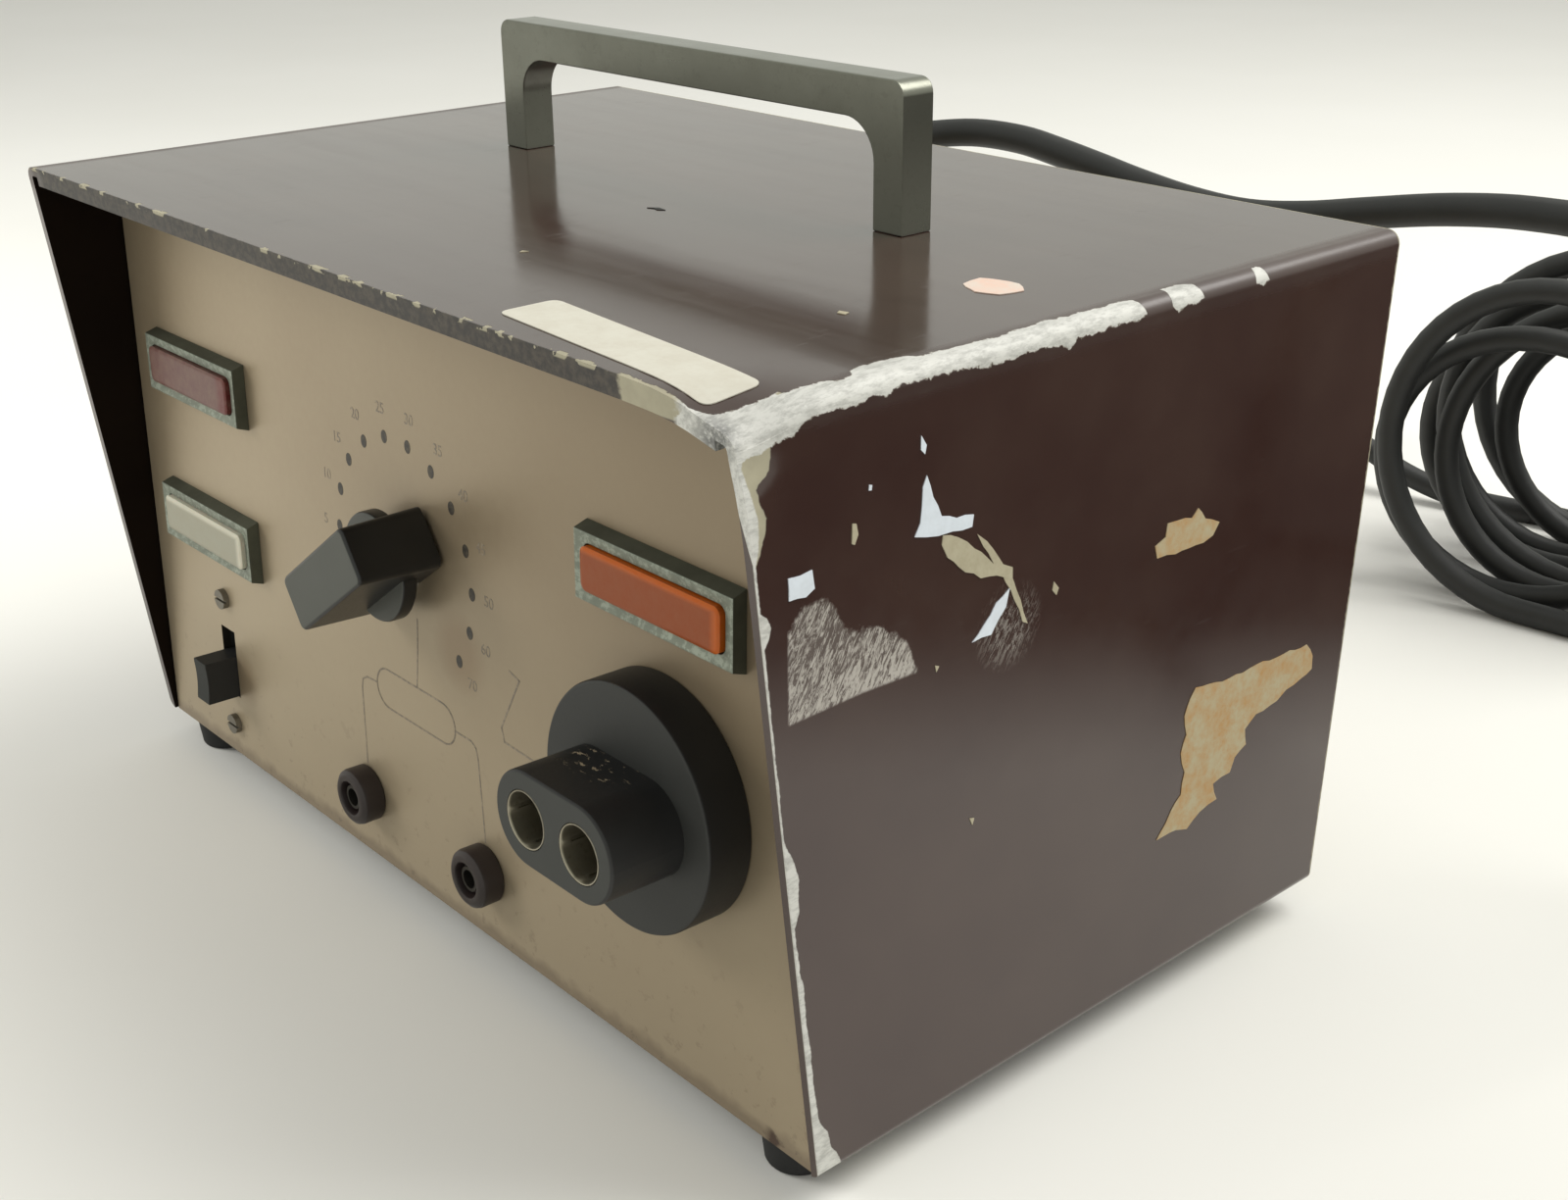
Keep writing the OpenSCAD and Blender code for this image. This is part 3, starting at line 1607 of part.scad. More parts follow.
circuit_board();
board_standoffs();
board_screws();
output_coil();
capacitors();
relay();
heat_sink();
power_transistor();
transformer_core();
transformer_winding();
transformer_frame();
transformer_screws();
fuse_holder();
fuse_cap();
fuse();
strain_relief();
cord_lead();
cord_coil();
cord_tail();
plug();
plug_blades();
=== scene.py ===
"""Dresses the electrosurgical coagulator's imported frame: worn enamelled cover, printed front panel,
dial, lamps, jacks, output connector, handle, switch, fittings and mains cord.

Lengths in the classes are millimetres. The case's frame has Z = 0 under the cover and Y = 0 at the
cover's middle, and the panel's frame has x to the right, y up along the panel and z out of it.
"""

import logging
import math
from dataclasses import dataclass, field
from enum import Enum
from typing import Callable, Mapping, Sequence

import bpy
from mathutils import Matrix, Vector


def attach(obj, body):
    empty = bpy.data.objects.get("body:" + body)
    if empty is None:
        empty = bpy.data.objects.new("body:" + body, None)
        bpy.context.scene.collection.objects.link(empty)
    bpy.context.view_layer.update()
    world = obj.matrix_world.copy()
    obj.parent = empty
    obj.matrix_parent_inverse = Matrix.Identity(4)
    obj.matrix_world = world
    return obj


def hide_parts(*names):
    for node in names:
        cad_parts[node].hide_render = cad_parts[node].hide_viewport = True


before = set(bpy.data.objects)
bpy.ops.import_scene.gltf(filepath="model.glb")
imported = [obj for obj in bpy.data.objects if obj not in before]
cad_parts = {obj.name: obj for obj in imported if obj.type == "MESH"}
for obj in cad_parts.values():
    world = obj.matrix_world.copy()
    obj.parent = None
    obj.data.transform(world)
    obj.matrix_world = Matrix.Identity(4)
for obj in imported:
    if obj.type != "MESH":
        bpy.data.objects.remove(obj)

LOG = logging.getLogger("coagulator")
MM = 0.001
CASE_ORIGIN = Vector((0, 3.5924, 7)) * MM
PANEL_FOOT_Y = 66.3
PANEL_LEAN = math.radians(1.66)
LAYOUT_X = -3.0
COVER_W, COVER_D, COVER_H = 246.0, 164.0, 140.0
FRONT_RAKE, REAR_RAKE = 15.0, 6.0

Colour = tuple[float, float, float]
Point = tuple[float, float, float]
Flat = tuple[float, float]
Test = Callable[[Vector, Vector], bool]


def case_place(x: float = 0, y: float = 0, z: float = 0) -> Matrix:
    """Returns the matrix that puts a piece made about its own origin at a place in the case's frame."""
    return Matrix.Translation(CASE_ORIGIN + Vector((x, y, z)) * MM)


def panel_place(u: float, v: float, turn: float = 0) -> Matrix:
    """Returns the matrix that puts a piece on the panel.

    Args:
        u: Distance right of the cover's middle.
        v: Distance up along the panel.
        turn: Angle in degrees, counter-clockwise, about the panel's normal.

    Returns:
        The matrix from the piece's own axes to the row frame.
    """
    foot = Matrix.Translation(CASE_ORIGIN + Vector((0, -PANEL_FOOT_Y, 0)) * MM)
    lean = Matrix.Rotation(math.pi / 2 - PANEL_LEAN, 4, "X")
    return foot @ lean @ Matrix.Translation((u * MM, v * MM, 0)) @ Matrix.Rotation(math.radians(turn), 4, "Z")


# Materials


class Reading:
    """A number that a material works out at each point, with Python's operators."""

    def __init__(self, recipe: "Recipe", socket: bpy.types.NodeSocket) -> None:
        """Wraps one output socket of a recipe."""
        self.recipe = recipe
        self.socket = socket

    def __add__(self, other: "Reading | float") -> "Reading":
        """Returns the sum."""
        return self.recipe.maths("ADD", self, other)

    __radd__ = __add__

    def __sub__(self, other: "Reading | float") -> "Reading":
        """Returns the difference."""
        return self.recipe.maths("SUBTRACT", self, other)

    def __rsub__(self, other: float) -> "Reading":
        """Returns the difference, the other way round."""
        return self.recipe.maths("SUBTRACT", other, self)

    def __mul__(self, other: "Reading | float") -> "Reading":
        """Returns the product."""
        return self.recipe.maths("MULTIPLY", self, other)

    __rmul__ = __mul__

    def __truediv__(self, other: "Reading | float") -> "Reading":
        """Returns the quotient."""
        return self.recipe.maths("DIVIDE", self, other)

    def size(self) -> "Reading":
        """Returns the value without its sign."""
        return self.recipe.maths("ABSOLUTE", self)

    def largest(self, other: "Reading | float") -> "Reading":
        """Returns the larger of two values."""
        return self.recipe.maths("MAXIMUM", self, other)

    def smallest(self, other: "Reading | float") -> "Reading":
        """Returns the smaller of two values."""
        return self.recipe.maths("MINIMUM", self, other)

    def over(self, edge: "Reading | float", blur: float) -> "Reading":
        """Returns 1 where the value is over an edge and 0 under it, with a soft step between."""
        return self.recipe.maths("ADD", (self - edge) / blur, 0.5, clamp=True)


class Recipe:
    """One material's node tree while it is being written."""

    def __init__(self, name: str) -> None:
        """Starts an empty tree with a Principled shader.

        Args:
            name: The material's name.
        """
        self.material = bpy.data.materials.new(name)
        self.material.use_nodes = True
        self.tree = self.material.node_tree
        self.tree.nodes.clear()
        self.surface = self.node("ShaderNodeBsdfPrincipled")
        self.sheet = self.node("ShaderNodeOutputMaterial")
        self.tree.links.new(self.surface.outputs[0], self.sheet.inputs[0])

    def node(self, kind: str, settings: Mapping[str, object] | None = None,
             sockets: Mapping[str | int, object] | None = None) -> bpy.types.Node:
        """Adds a node.

        Args:
            kind: Blender's name of the node's type.
            settings: The node's own settings, or "stops" for a colour ramp's places and colours.
            sockets: A value or a link for each input socket.

        Returns:
            The new node.
        """
        made = self.tree.nodes.new(kind)
        for name, value in (settings or {}).items():
            if name == "stops":
                self._set_stops(made, value)
            else:
                setattr(made, name, value)
        for key, value in (sockets or {}).items():
            self.feed(made.inputs[key], value)
        return made

    def feed(self, socket: bpy.types.NodeSocket, value: object) -> None:
        """Links a reading or a socket to an input, or sets the input's own value.

        Args:
            socket: The input.
            value: A reading, an output socket, or a value. A colour may leave out its alpha.
        """
        if isinstance(value, Reading):
            self.tree.links.new(value.socket, socket)
        elif isinstance(value, bpy.types.NodeSocket):
            self.tree.links.new(value, socket)
        elif isinstance(value, tuple) and socket.type == "RGBA" and len(value) == 3:
            socket.default_value = (*value, 1)
        else:
            socket.default_value = value

    @staticmethod
    def _set_stops(ramp: bpy.types.Node, stops: Sequence[tuple[float, Colour]]) -> None:
        """Writes a colour ramp's stops.

        Args:
            ramp: The ramp's node.
            stops: Each stop's place, from 0 to 1, and its colour.
        """
        elements = ramp.color_ramp.elements
        while len(elements) > 1:
            elements.remove(elements[-1])
        elements[0].position, elements[0].color = stops[0][0], (*stops[0][1], 1)
        for place, colour in stops[1:]:
            elements.new(place).color = (*colour, 1)

    def maths(self, operation: str, first: Reading | float, second: Reading | float = 0.0,
              clamp: bool = False) -> Reading:
        """Returns a Math node's result as a reading."""
        made = self.node("ShaderNodeMath", {"operation": operation, "use_clamp": clamp}, {0: first, 1: second})
        return Reading(self, made.outputs[0])

    def place(self) -> bpy.types.NodeSocket:
        """Returns the point's place in the row frame, in metres."""
        return self.node("ShaderNodeTexCoord").outputs["Object"]

    def axes(self, origin: Vector = CASE_ORIGIN) -> tuple[Reading, Reading, Reading]:
        """Returns the point's x, y and z in millimetres from an origin in the row frame."""
        split = self.node("ShaderNodeSeparateXYZ", None, {0: self.place()})
        return tuple((Reading(self, split.outputs[i]) - origin[i]) * 1000 for i in range(3))

    def face(self) -> tuple[Reading, Reading, Reading]:
        """Returns the surface's own direction."""
        split = self.node("ShaderNodeSeparateXYZ", None, {0: self.node("ShaderNodeNewGeometry").outputs["Normal"]})
        return tuple(Reading(self, split.outputs[i]) for i in range(3))

    def noise(self, grain: float, detail: float = 3, roughness: float = 0.55,
              stretch: Point = (1, 1, 1), shift: float = 0) -> Reading:
        """Returns a noise from 0 to 1.

        Args:
            grain: Size of its patches, in millimetres.
            detail: Octaves of finer noise on it.
            roughness: Strength of the finer octaves.
            stretch: How much longer the patches are along each axis.
            shift: Moves the pattern, in metres.

        Returns:
            The noise as a reading.
        """
        scale = tuple(1 / (grain * MM * s) for s in stretch)
        moved = self.node("ShaderNodeMapping", None, {"Vector": self.place(), "Location": (shift,) * 3, "Scale": scale})
        made = self.node("ShaderNodeTexNoise", None, {"Vector": moved.outputs[0], "Scale": 1.0,
                                                      "Detail": detail, "Roughness": roughness})
        return Reading(self, made.outputs[0])

    def mix(self, share: Reading | float, under: object, over: object) -> bpy.types.NodeSocket:
        """Returns one colour laid over another by a share."""
        made = self.node("ShaderNodeMix", {"data_type": "RGBA"}, {0: share, 6: under, 7: over})
        return made.outputs[2]

    def ramp(self, value: Reading, stops: Sequence[tuple[float, Colour]]) -> bpy.types.NodeSocket:
        """Returns a colour picked along a ramp by a reading."""
        return self.node("ShaderNodeValToRGB", {"stops": stops}, {0: value}).outputs[0]

    def along(self, value: Reading, line: Sequence[Flat]) -> Reading:
        """Reads a line drawn through points, as on a chart.

        Args:
            value: Where along the line.
            line: The line's points, as place and height.

        Returns:
            The line's height there.
        """
        low, high = min(h for _, h in line), max(h for _, h in line)
        start, length = line[0][0], line[-1][0] - line[0][0]
        stops = [((place - start) / length, ((height - low) / (high - low),) * 3) for place, height in line]
        return Reading(self, self.ramp((value - start) / length, stops)) * (high - low) + low

    def away(self, axes: Sequence[Reading], middle: Sequence[float]) -> Reading:
        """Returns the distance from a middle, along the axes that are given."""
        squares = [(axis - place) * (axis - place) for axis, place in zip(axes, middle)]
        return self.maths("SQRT", sum(squares[1:], squares[0]))

    def bump(self, height: Reading, depth: float, strength: float = 1.0) -> bpy.types.NodeSocket:
        """Returns a normal from a height, whose full range is depth millimetres."""
        made = self.node("ShaderNodeBump", None, {"Height": height, "Distance": depth * MM, "Strength": strength})
        return made.outputs[0]

    def done(self, **sockets: object) -> bpy.types.Material:
        """Feeds the shader's sockets.

        Args:
            sockets: A value or a link for each, named with underscores for spaces.

        Returns:
            The material.
        """
        for name, value in sockets.items():
            self.feed(self.surface.inputs[name.replace("_", " ")], value)
        return self.material


@dataclass(frozen=True)
class Enamel:
    """Glossy maroon-brown stove enamel over a beige primer, chipped to bare metal along the folds.

    The outlines are drawn as lines through points. Across the right fold the measure is 0 on the corner,
    positive on the top and negative on the cheek. On the cheek it is the distance behind its front edge.
    """

    name: str = "worn_enamel"
    paint: Colour = (0.034, 0.0145, 0.0112)
    faded: Colour = (0.047, 0.0245, 0.0185)
    primer: Colour = (0.37, 0.34, 0.235)
    bare: Colour = (0.60, 0.60, 0.56)
    dull_metal: Colour = (0.40, 0.40, 0.37)
    rubbed: Colour = (0.50, 0.47, 0.42)
    unlit: Colour = (0.016, 0.0115, 0.009)
    gloss: float = 0.12
    ior: float = 1.64
    relief: float = 0.3
    smudge: Point = (116.2, -81.5, 134.6)
    faint_scuff: Point = (123, -24.5, 91)
    fold_top: tuple[Flat, ...] = (
        (-84, 13), (-82.5, 13), (-79, 7), (-75, 6), (-71.7, 5.5), (-67, 5.2), (-62, 4.6), (-60.5, 3.0), (-57.3, 3.4),
        (-55.7, 5.5), (-49.6, 6.2), (-44.5, 5.3), (-43.2, 3.6), (-35.5, 3.3), (-28, 3.0), (-18.8, 3.6), (-14.1, 4.2),
        (-11, 3.4), (-2, 3.4), (3.6, 3.5), (6, 2.4), (7.5, -6), (13, -6), (14.3, 3.5), (19, 3.9), (21.6, 2.4),
        (22.8, -6), (36, -6), (37.8, 2.4), (40, 2.0), (41.5, -6))
    fold_side: tuple[Flat, ...] = (
        (-84, -6), (-74.5, -4.6), (-70.7, -4.6), (-68.6, -2.8), (-65, -2.6), (-59.3, -3.3), (-56.1, -2.5),
        (-53.4, -3.2), (-50.2, -1.9), (-42.4, -2.5), (-37, -2.4), (-31, -2.9), (-24.5, -2.8), (-18.8, -2.6),
        (-14.5, -2.9), (-12.6, -4.4), (-10.3, -2.7), (-0.8, -2.6), (4.5, -2.6), (8, -1), (12.5, -0.8),
        (14.9, -3.3), (17.5, -2.7), (20.7, -2.4), (24, -1.5), (36.5, -2), (39, -3), (41.5, -2))
    cheek_edge: tuple[Flat, ...] = (
        (0, 5.6), (3, 5.0), (6, 3.4), (10, 2.8), (12.5, 1.4), (20, 0.9), (28, 1.2), (34, 0.8), (41, 1.1), (44, 0.5),
        (53, 0.4), (56, 1.7), (62, 2.2), (66, 1.5), (69, 0.25), (103.5, 0.22), (104.6, 1.2), (106.6, 1.9),
        (108.4, 1.2), (109.3, 0.22), (116.5, 0.3), (118.5, 1.3), (121.5, 2.8), (123.6, 3.4), (126, 2.9),
        (128.1, 2.8), (129.8, 5.4), (132, 6.4), (135.3, 7.4), (136.2, 12), (140, 14))
    cheek_metal: tuple[Flat, ...] = (
        (0, 7), (8, 4), (12, 2), (62, 3), (70, 0.35), (103.5, 0.35), (104.6, 1.4), (106.8, 2.4), (108.6, 1.4),
        (109.3, 0.35), (117, 0.4), (120, 1.4), (124, 2.0), (128, 1.6), (131, 1.3), (134, 2.6), (136, 9), (140, 14))
    scuff_top: tuple[Flat, ...] = (
        (-73.4, 104.8), (-70, 107.8), (-65.2, 107.6), (-62.1, 102.9), (-61, 100.9), (-54.5, 100.2), (-48.4, 95.6),
        (-46.2, 90.1))

    def material(self) -> bpy.types.Material:
        """Lays primer, metal, grime, scuffs and painted shade over the paint by their masks.

        Returns:
            The cover's material.
        """
        r = Recipe(self.name)
        x, y, z = r.axes()
        nx, _, nz = r.face()
        ragged = (r.noise(5, 4, 0.65) - 0.5) * 2
        fine = (r.noise(1.5, 3, 0.6, shift=0.3) - 0.5) * 2
        chips, deep, lip_grime_and_shade = self._chips(r, x, y, z, ragged, fine)
        scuff = self._scuffs(r, x, y, z)
        cloud = r.noise(34, 4, 0.6, shift=0.7)
        smear = r.noise(5, 4, 0.65, (14, 1.4, 1.4), 0.2)
        paint = r.mix(cloud.over(0.52, 0.35), self.paint, self.faded)
        paint = r.mix(scuff * 0.85, paint, self.rubbed)
        # The top's front edge is darkened as grime and painted shade.
        paint = r.mix(lip_grime_and_shade, paint, r.ramp(r.noise(1.6, 3, 0.7, shift=1.7),
                                        [(0.42, (0.008, 0.006, 0.004)), (0.62, (0.045, 0.036, 0.024))]))
        metal = r.ramp(r.noise(1.8, 4, 0.75, (0.7, 2.2, 0.7)), [(0.36, self.dull_metal), (0.56, self.bare)])
        metal = r.mix(self._smudge(r, (x, y, z)), metal, (0.05, 0.05, 0.05))
        primer = r.mix(r.noise(4, 3, 0.6, shift=2.4).over(0.5, 0.4), self.primer,
                       tuple(c * 0.82 for c in self.primer))
        marks = r.noise(0.9, 2, 0.5, (1, 9, 1), 0.5).over(0.68, 0.05)
        rough = self.gloss + smear.over(0.5, 0.3) * 0.05 + marks * 0.05 + scuff * 0.4 + lip_grime_and_shade * 0.5
        fold = (5 - (COVER_W / 2 - x.size()).largest(COVER_H - z)).over(0, 2) * 0.22
        # Painted shade: faces inside the cheeks and downward faces take the unlit colour and turn metallic.
        inside_shade = (0 - x * nx).over(50, 20).largest((0 - nz).over(0.5, 0.2) * z.over(60, 10))
        paint = r.mix(inside_shade, paint, self.unlit)
        colour = r.mix(chips, paint, r.mix(deep, primer, metal))
        rough = (rough + fold + inside_shade * 0.4).smallest(0.8) * (1 - chips) + chips * 0.62
        height = (1 - chips) * 0.6 + smear * 0.004 + ragged * deep * chips * 0.1 + scuff * 0.05
        r.surface.inputs["IOR"].default_value = self.ior
        return r.done(Base_Color=colour, Roughness=rough, Metallic=deep * chips * 0.12 + inside_shade * (1 - chips),
                      Normal=r.bump(height, self.relief, 0.7))

    def _chips(self, r: Recipe, x: Reading, y: Reading, z: Reading, ragged: Reading,
               fine: Reading) -> tuple[Reading, Reading, Reading]:
        """Works out where the enamel is gone.

        Args:
            r: The recipe being written.
            x: Distance right of the middle.
            y: Distance behind the middle.
            z: Height over the cover's underside.
            ragged: Noise from about -1 to 1 for the chips' outlines.
            fine: A finer one.

        Returns:
            Where primer or metal shows, where it is metal, and where the top's front edge is darkened by grime and
            painted shade.
        """
        edge = ragged * 0.9 + fine
        right, left = COVER_W / 2 - x, x + COVER_W / 2
        top = COVER_H - z
        front = y + COVER_D / 2 - top * (FRONT_RAKE / COVER_H)
        rear = COVER_D / 2 - REAR_RAKE * top / COVER_H - y
        across = right - top
        near = (15 - right.largest(top)).over(0, 1)
        strip = ((r.along(y, self.fold_top) + edge - across).over(0, 0.3)
                 * (across - r.along(y, self.fold_side) + edge).over(0, 0.3) * near * (42 - y).over(0, 1))
        # The cheek, with its front edge's own face only near the top
        face = (0.4 + (z - 117).largest(0) * 0.3 - right).over(0, 0.2)
        line = (r.along(z, self.cheek_edge) + edge * 0.3 - front).over(0, 0.15) * face
        under = (0.9 + edge * 0.3 - z).over(0, 0.2) * (5 - right).over(0, 1) * (r.noise(16, 2) - 0.5).over(0, 0.1)
        # The top's front edge: small primer chips, a longer run near the right corner, a dark band of grime and painted
        # shade elsewhere
        spots = (r.noise(4.2, 3, 0.6, shift=0.9) - 0.56).over(0, 0.03)
        hem = 4.4
        lip = (0.9 + edge * 0.5 - front).over(0, 0.15) * (hem - top).over(0, 0.3)
        run = lip * (x - 95.5 + edge).over(0, 0.8)
        nicks = (spots * 1.5 - 0.35 + fine * 0.3 - front).over(0, 0.15) * (0.7 - top).over(0, 0.3)
        lip_grime_and_shade = (0.25 + fine * 0.3 - front).over(0, 0.2) * (hem - top).over(0, 0.3) * (x + 118).over(0, 6)
        lip_grime_and_shade = lip_grime_and_shade * (1 - run) * 0.9
        # Thin wear along the other edges
        back = (0.35 + fine * 0.5 - rear).over(0, 0.2)
        other = (0.9 + edge - left.largest(top)).over(0, 0.3) * (r.noise(14, 3, shift=1.3) - 0.56).over(0, 0.05)
        chips = strip.largest(line).largest(run).largest(nicks).largest(back * 0.8).largest(under).largest(other)
        metal = strip.largest((r.along(z, self.cheek_metal) + edge * 0.3 - front).over(0, 0.25) * face)
        metal = metal.largest(run * (x - 109 + edge * 2).over(0, 1.5)).smallest(1)
        return chips.smallest(1), metal, lip_grime_and_shade.smallest(1)

    def _smudge(self, r: Recipe, spot: Sequence[Reading]) -> Reading:
        """Returns the dark specks on the knocked corner's front."""
        near = (3.6 - r.away(spot, self.smudge)).over(0, 3)
        return near * (r.noise(1.1, 4, 0.75, shift=0.15) - 0.42).over(0, 0.2) * 0.75

    def _scuffs(self, r: Recipe, x: Reading, y: Reading, z: Reading) -> Reading:
        """Draws the dull rubbed patch on the right cheek, streaked aslant.

        Args:
            r: The recipe being written.
            x: Distance right of the middle.
            y: Distance behind the middle.
            z: Height over the cover's underside.

        Returns:
            How far the gloss is rubbed off, from 0 to 1.
        """
        front, rear, foot = -73.2, -46, 89.9
        torn = (r.noise(2.4, 4, 0.7, shift=0.4) - 0.5) * 5
        inside = (y - front).over(0, 0.5) * (rear - y).over(0, 0.6) * x.over(121, 1)
        inside = inside * (r.along(y, self.scuff_top) + torn - z).over(0, 1.2)
        inside = inside * (z - foot + (y + 58).size() * 0.03).over(0, 0.5)
        turned = r.node("ShaderNodeMapping", {"vector_type": "TEXTURE"},
                        {"Vector": r.place(), "Rotation": (math.radians(62), 0, 0), "Scale": (0.003, 0.0028, 0.0006)})
        streaks = r.node("ShaderNodeTexNoise", None, {"Vector": turned.outputs[0], "Scale": 1.0, "Detail": 4.0,
                                                      "Roughness": 0.75, "Distortion": 1.4})
        lines = Reading(r, streaks.outputs[0])
        low = (96.5 - z + torn * 0.6).over(0, 9)
        faint = (6 - r.away((x, y, z), self.faint_scuff)).over(0, 5) * 0.4
        lines = lines + low * 0.06 + (r.noise(4.5, 3, 0.6, shift=2.1) - 0.5) * 0.22
        return (inside * (0.16 + (lines - 0.54).over(0, 0.11) * 0.8)).largest(faint * (lines - 0.6).over(0, 0.06))


@dataclass(frozen=True)
class PanelMetal:
    """Champagne-beige lacquered sheet with a mottled, slightly brushed look, grime, painted light and shade, and
    painted shadows.
    """

    name: str = "panel_lacquer"
    colour: Colour = (0.315, 0.245, 0.16)
    light: Colour = (0.375, 0.305, 0.205)
    # Painted floor light: lighter towards the bottom.
    low: Colour = (0.46, 0.385, 0.265)
    # Painted shade towards the upper right.
    dim: Colour = (0.165, 0.122, 0.072)
    # Colour of grime specks, and of painted shade along the foot and in the lower right corner.
    dirt: Colour = (0.075, 0.045, 0.03)
    # Colour of the painted shadows of the thumb and the knob.
    stain: Colour = (0.20, 0.12, 0.06)
    # Painted shade on faces that don't look forward, such as the hole walls.
    walls: Colour = (0.03, 0.026, 0.02)
    # Painted shadows: soft spots right of the switch's thumb and lower right of the knob, each a middle and a radius.
    stains: tuple[tuple[Flat, float], ...] = (((-80.5, 22), 5.5), ((16, 62), 7))

    def material(self) -> bpy.types.Material:
        """Mottles the lacquer and adds grime, painted floor light below, painted shade (upper right, foot, corner,
        walls) and painted shadows.

        Returns:
            The front panel's material.
        """
        r = Recipe(self.name)
        x, _, z = r.axes()
        mottle = r.noise(2.2, 3, 0.65)
        cloud = r.noise(38, 3, 0.5, shift=0.2)
        colour = r.mix(mottle.over(0.5, 0.5) * 0.45 + cloud.over(0.5, 0.5) * 0.45, self.colour, self.light)
        grime = (r.noise(3.4, 4, 0.7, shift=0.6) - 0.63).over(0, 0.05) * (26 - z).over(0, 40)
        # Painted shade along the panel's foot, with some dirt.
        dirt = (2.6 - z + (r.noise(6, 3) - 0.5) * 5).over(0, 2.4)
        # Painted shade in the lower right corner.
        corner = (113 - x - (z - 1).size() * 2 + (r.noise(3, 3) - 0.5) * 8).over(0, 2)
        corner = corner * x.over(109, 2) * (3.5 - z).over(0, 1)
        # Painted shade towards the upper right.
        colour = r.mix((x + 60).over(70, 150) * (0.3 + (z - 20).over(0, 50) * 0.3), colour, self.dim)
        # Painted floor light: lighter towards the bottom.
        colour = r.mix((64 - z).over(0, 50) * 0.4, colour, self.low)
        colour = r.mix((grime * 0.2 + dirt * 0.4 + corner * 0.7).smallest(1), colour, self.dirt)
        # Painted shadows of the thumb and the knob, in the stain colour.
        for middle, wide in self.stains:
            colour = r.mix((wide - r.away((x, z), middle)).over(0, wide * 0.8) * 0.35, colour, self.stain)
        _, ny, _ = r.face()
        # Faces that don't look forward, such as hole walls, are painted dark as shade.
        colour = r.mix((0.6 - ny.size()).over(0, 0.1), colour, self.walls)
        brush = r.noise(0.5, 2, 0.5, (30, 1, 1), 0.4)
        return r.done(Base_Color=colour, Metallic=0.4, Roughness=0.36 + mottle * 0.1,
                      Normal=r.bump(mottle * 0.6 + brush * 0.4, 0.03, 0.5))


class Wear(Enum):
    """How a plastic or rubber piece has aged, which also sets the painted sheen on its forward faces."""

    CLEAN = 0.0
    HANDLED = 0.5
    WORN = 1.0


@dataclass(frozen=True)
class Moulding:
    """Moulded plastic or rubber with a fine skin, dust in its grain and paler fronts, part rubbed wear and part painted
    sheen.
    """

    name: str
    colour: Colour
    rough: float = 0.42
    grain: float = 0.6
    wear: Wear = Wear.HANDLED
    # Colour of the forward faces: rubbed wear and painted sheen.
    rubbed: Colour = (0.10, 0.105, 0.10)
    specks: bool = False
    flakes: Colour = (0.42, 0.34, 0.22)

    def material(self) -> bpy.types.Material:
        """Clouds the colour and greys the forward faces, as rubbed wear and painted sheen.

        Returns:
            The moulding's material.
        """
        r = Recipe(self.name)
        skin = r.noise(self.grain, 3, 0.6)
        cloud = r.noise(9, 3, 0.6, shift=0.4)
        colour = r.mix(cloud.over(0.5, 0.4) * 0.35, self.colour, tuple(c * 1.7 + 0.004 for c in self.colour))
        front = self._front(r)
        # Forward faces are greyed as rubbed wear and painted sheen.
        colour = r.mix(front * (0.35 + 0.6 * self.wear.value) * (0.75 + skin * 0.4), colour, self.rubbed)
        if self.specks:
            colour = r.mix(self._specks(r), colour, self.flakes)
        rough = self.rough + skin * 0.12 + cloud * 0.08 + front * 0.16
        return r.done(Base_Color=colour, Roughness=rough, Normal=r.bump(skin, 0.03, 0.45))

    def _front(self, r: Recipe) -> Reading:
        """Finds the faces that look forward, greyed by rubbed wear and by painted sheen.

        Args:
            r: The recipe being written.

        Returns:
            1 on those faces and 0 on the others.
        """
        _, ny, _ = r.face()
        if self.wear is Wear.CLEAN:
            return (0 - ny).over(2, 0.1)
        front = (0 - ny).over(0.93, 0.08)
        if self.specks:
            _, y, _ = r.axes()
            front = front * (0.55 + (0 - y).over(83, 6) * 0.45)
        return front

    @staticmethod
    def _specks(r: Recipe) -> Reading:
        """Scatters small tan flakes on the upper edge of the connector's boss.

        Args:
            r: The recipe being written.

        Returns:
            Where the flakes are.
        """
        x, y, z = r.axes()
        _, _, up = r.face()
        near = (8 - (x - 79).size()).over(0, 5) * (3.5 - (y + 77.5).size()).over(0, 3)
        near = near * z.over(64.5, 1) * up.over(0.5, 0.2)
        return near * (r.noise(1.2, 4, 0.75, (2.2, 1, 1), 0.8) - 0.62).over(0, 0.04) * 0.8


@dataclass(frozen=True)
class Metal:
    """Bare or plated metal with fine machining lines and a dull, handled film."""

    name: str
    colour: Colour
    dull: Colour
    rough: float = 0.35
    lines: Point = (1, 1, 1)
    metallic: float = 1.0
    film: float = 0.35

    def material(self) -> bpy.types.Material:
        """Draws fine lines along the metal, and a dull film over it.

        Returns:
            The metal's material.
        """
        r = Recipe(self.name)
        streak = r.noise(0.45, 3, 0.6, self.lines)
        cloud = r.noise(12, 4, 0.65, shift=0.3)
        spot = (r.noise(1.8, 4, 0.7, shift=0.9) - 0.6).over(0, 0.08)
        film = (cloud.over(0.5, 0.3) * 0.7 + spot * 0.5 + streak * 0.25) * self.film
        colour = r.mix(film.smallest(1), self.colour, self.dull)
        return r.done(Base_Color=colour, Metallic=self.metallic - film * 0.25,
                      Roughness=self.rough + streak * 0.1 + cloud * 0.1, Normal=r.bump(streak, 0.012, 0.5))


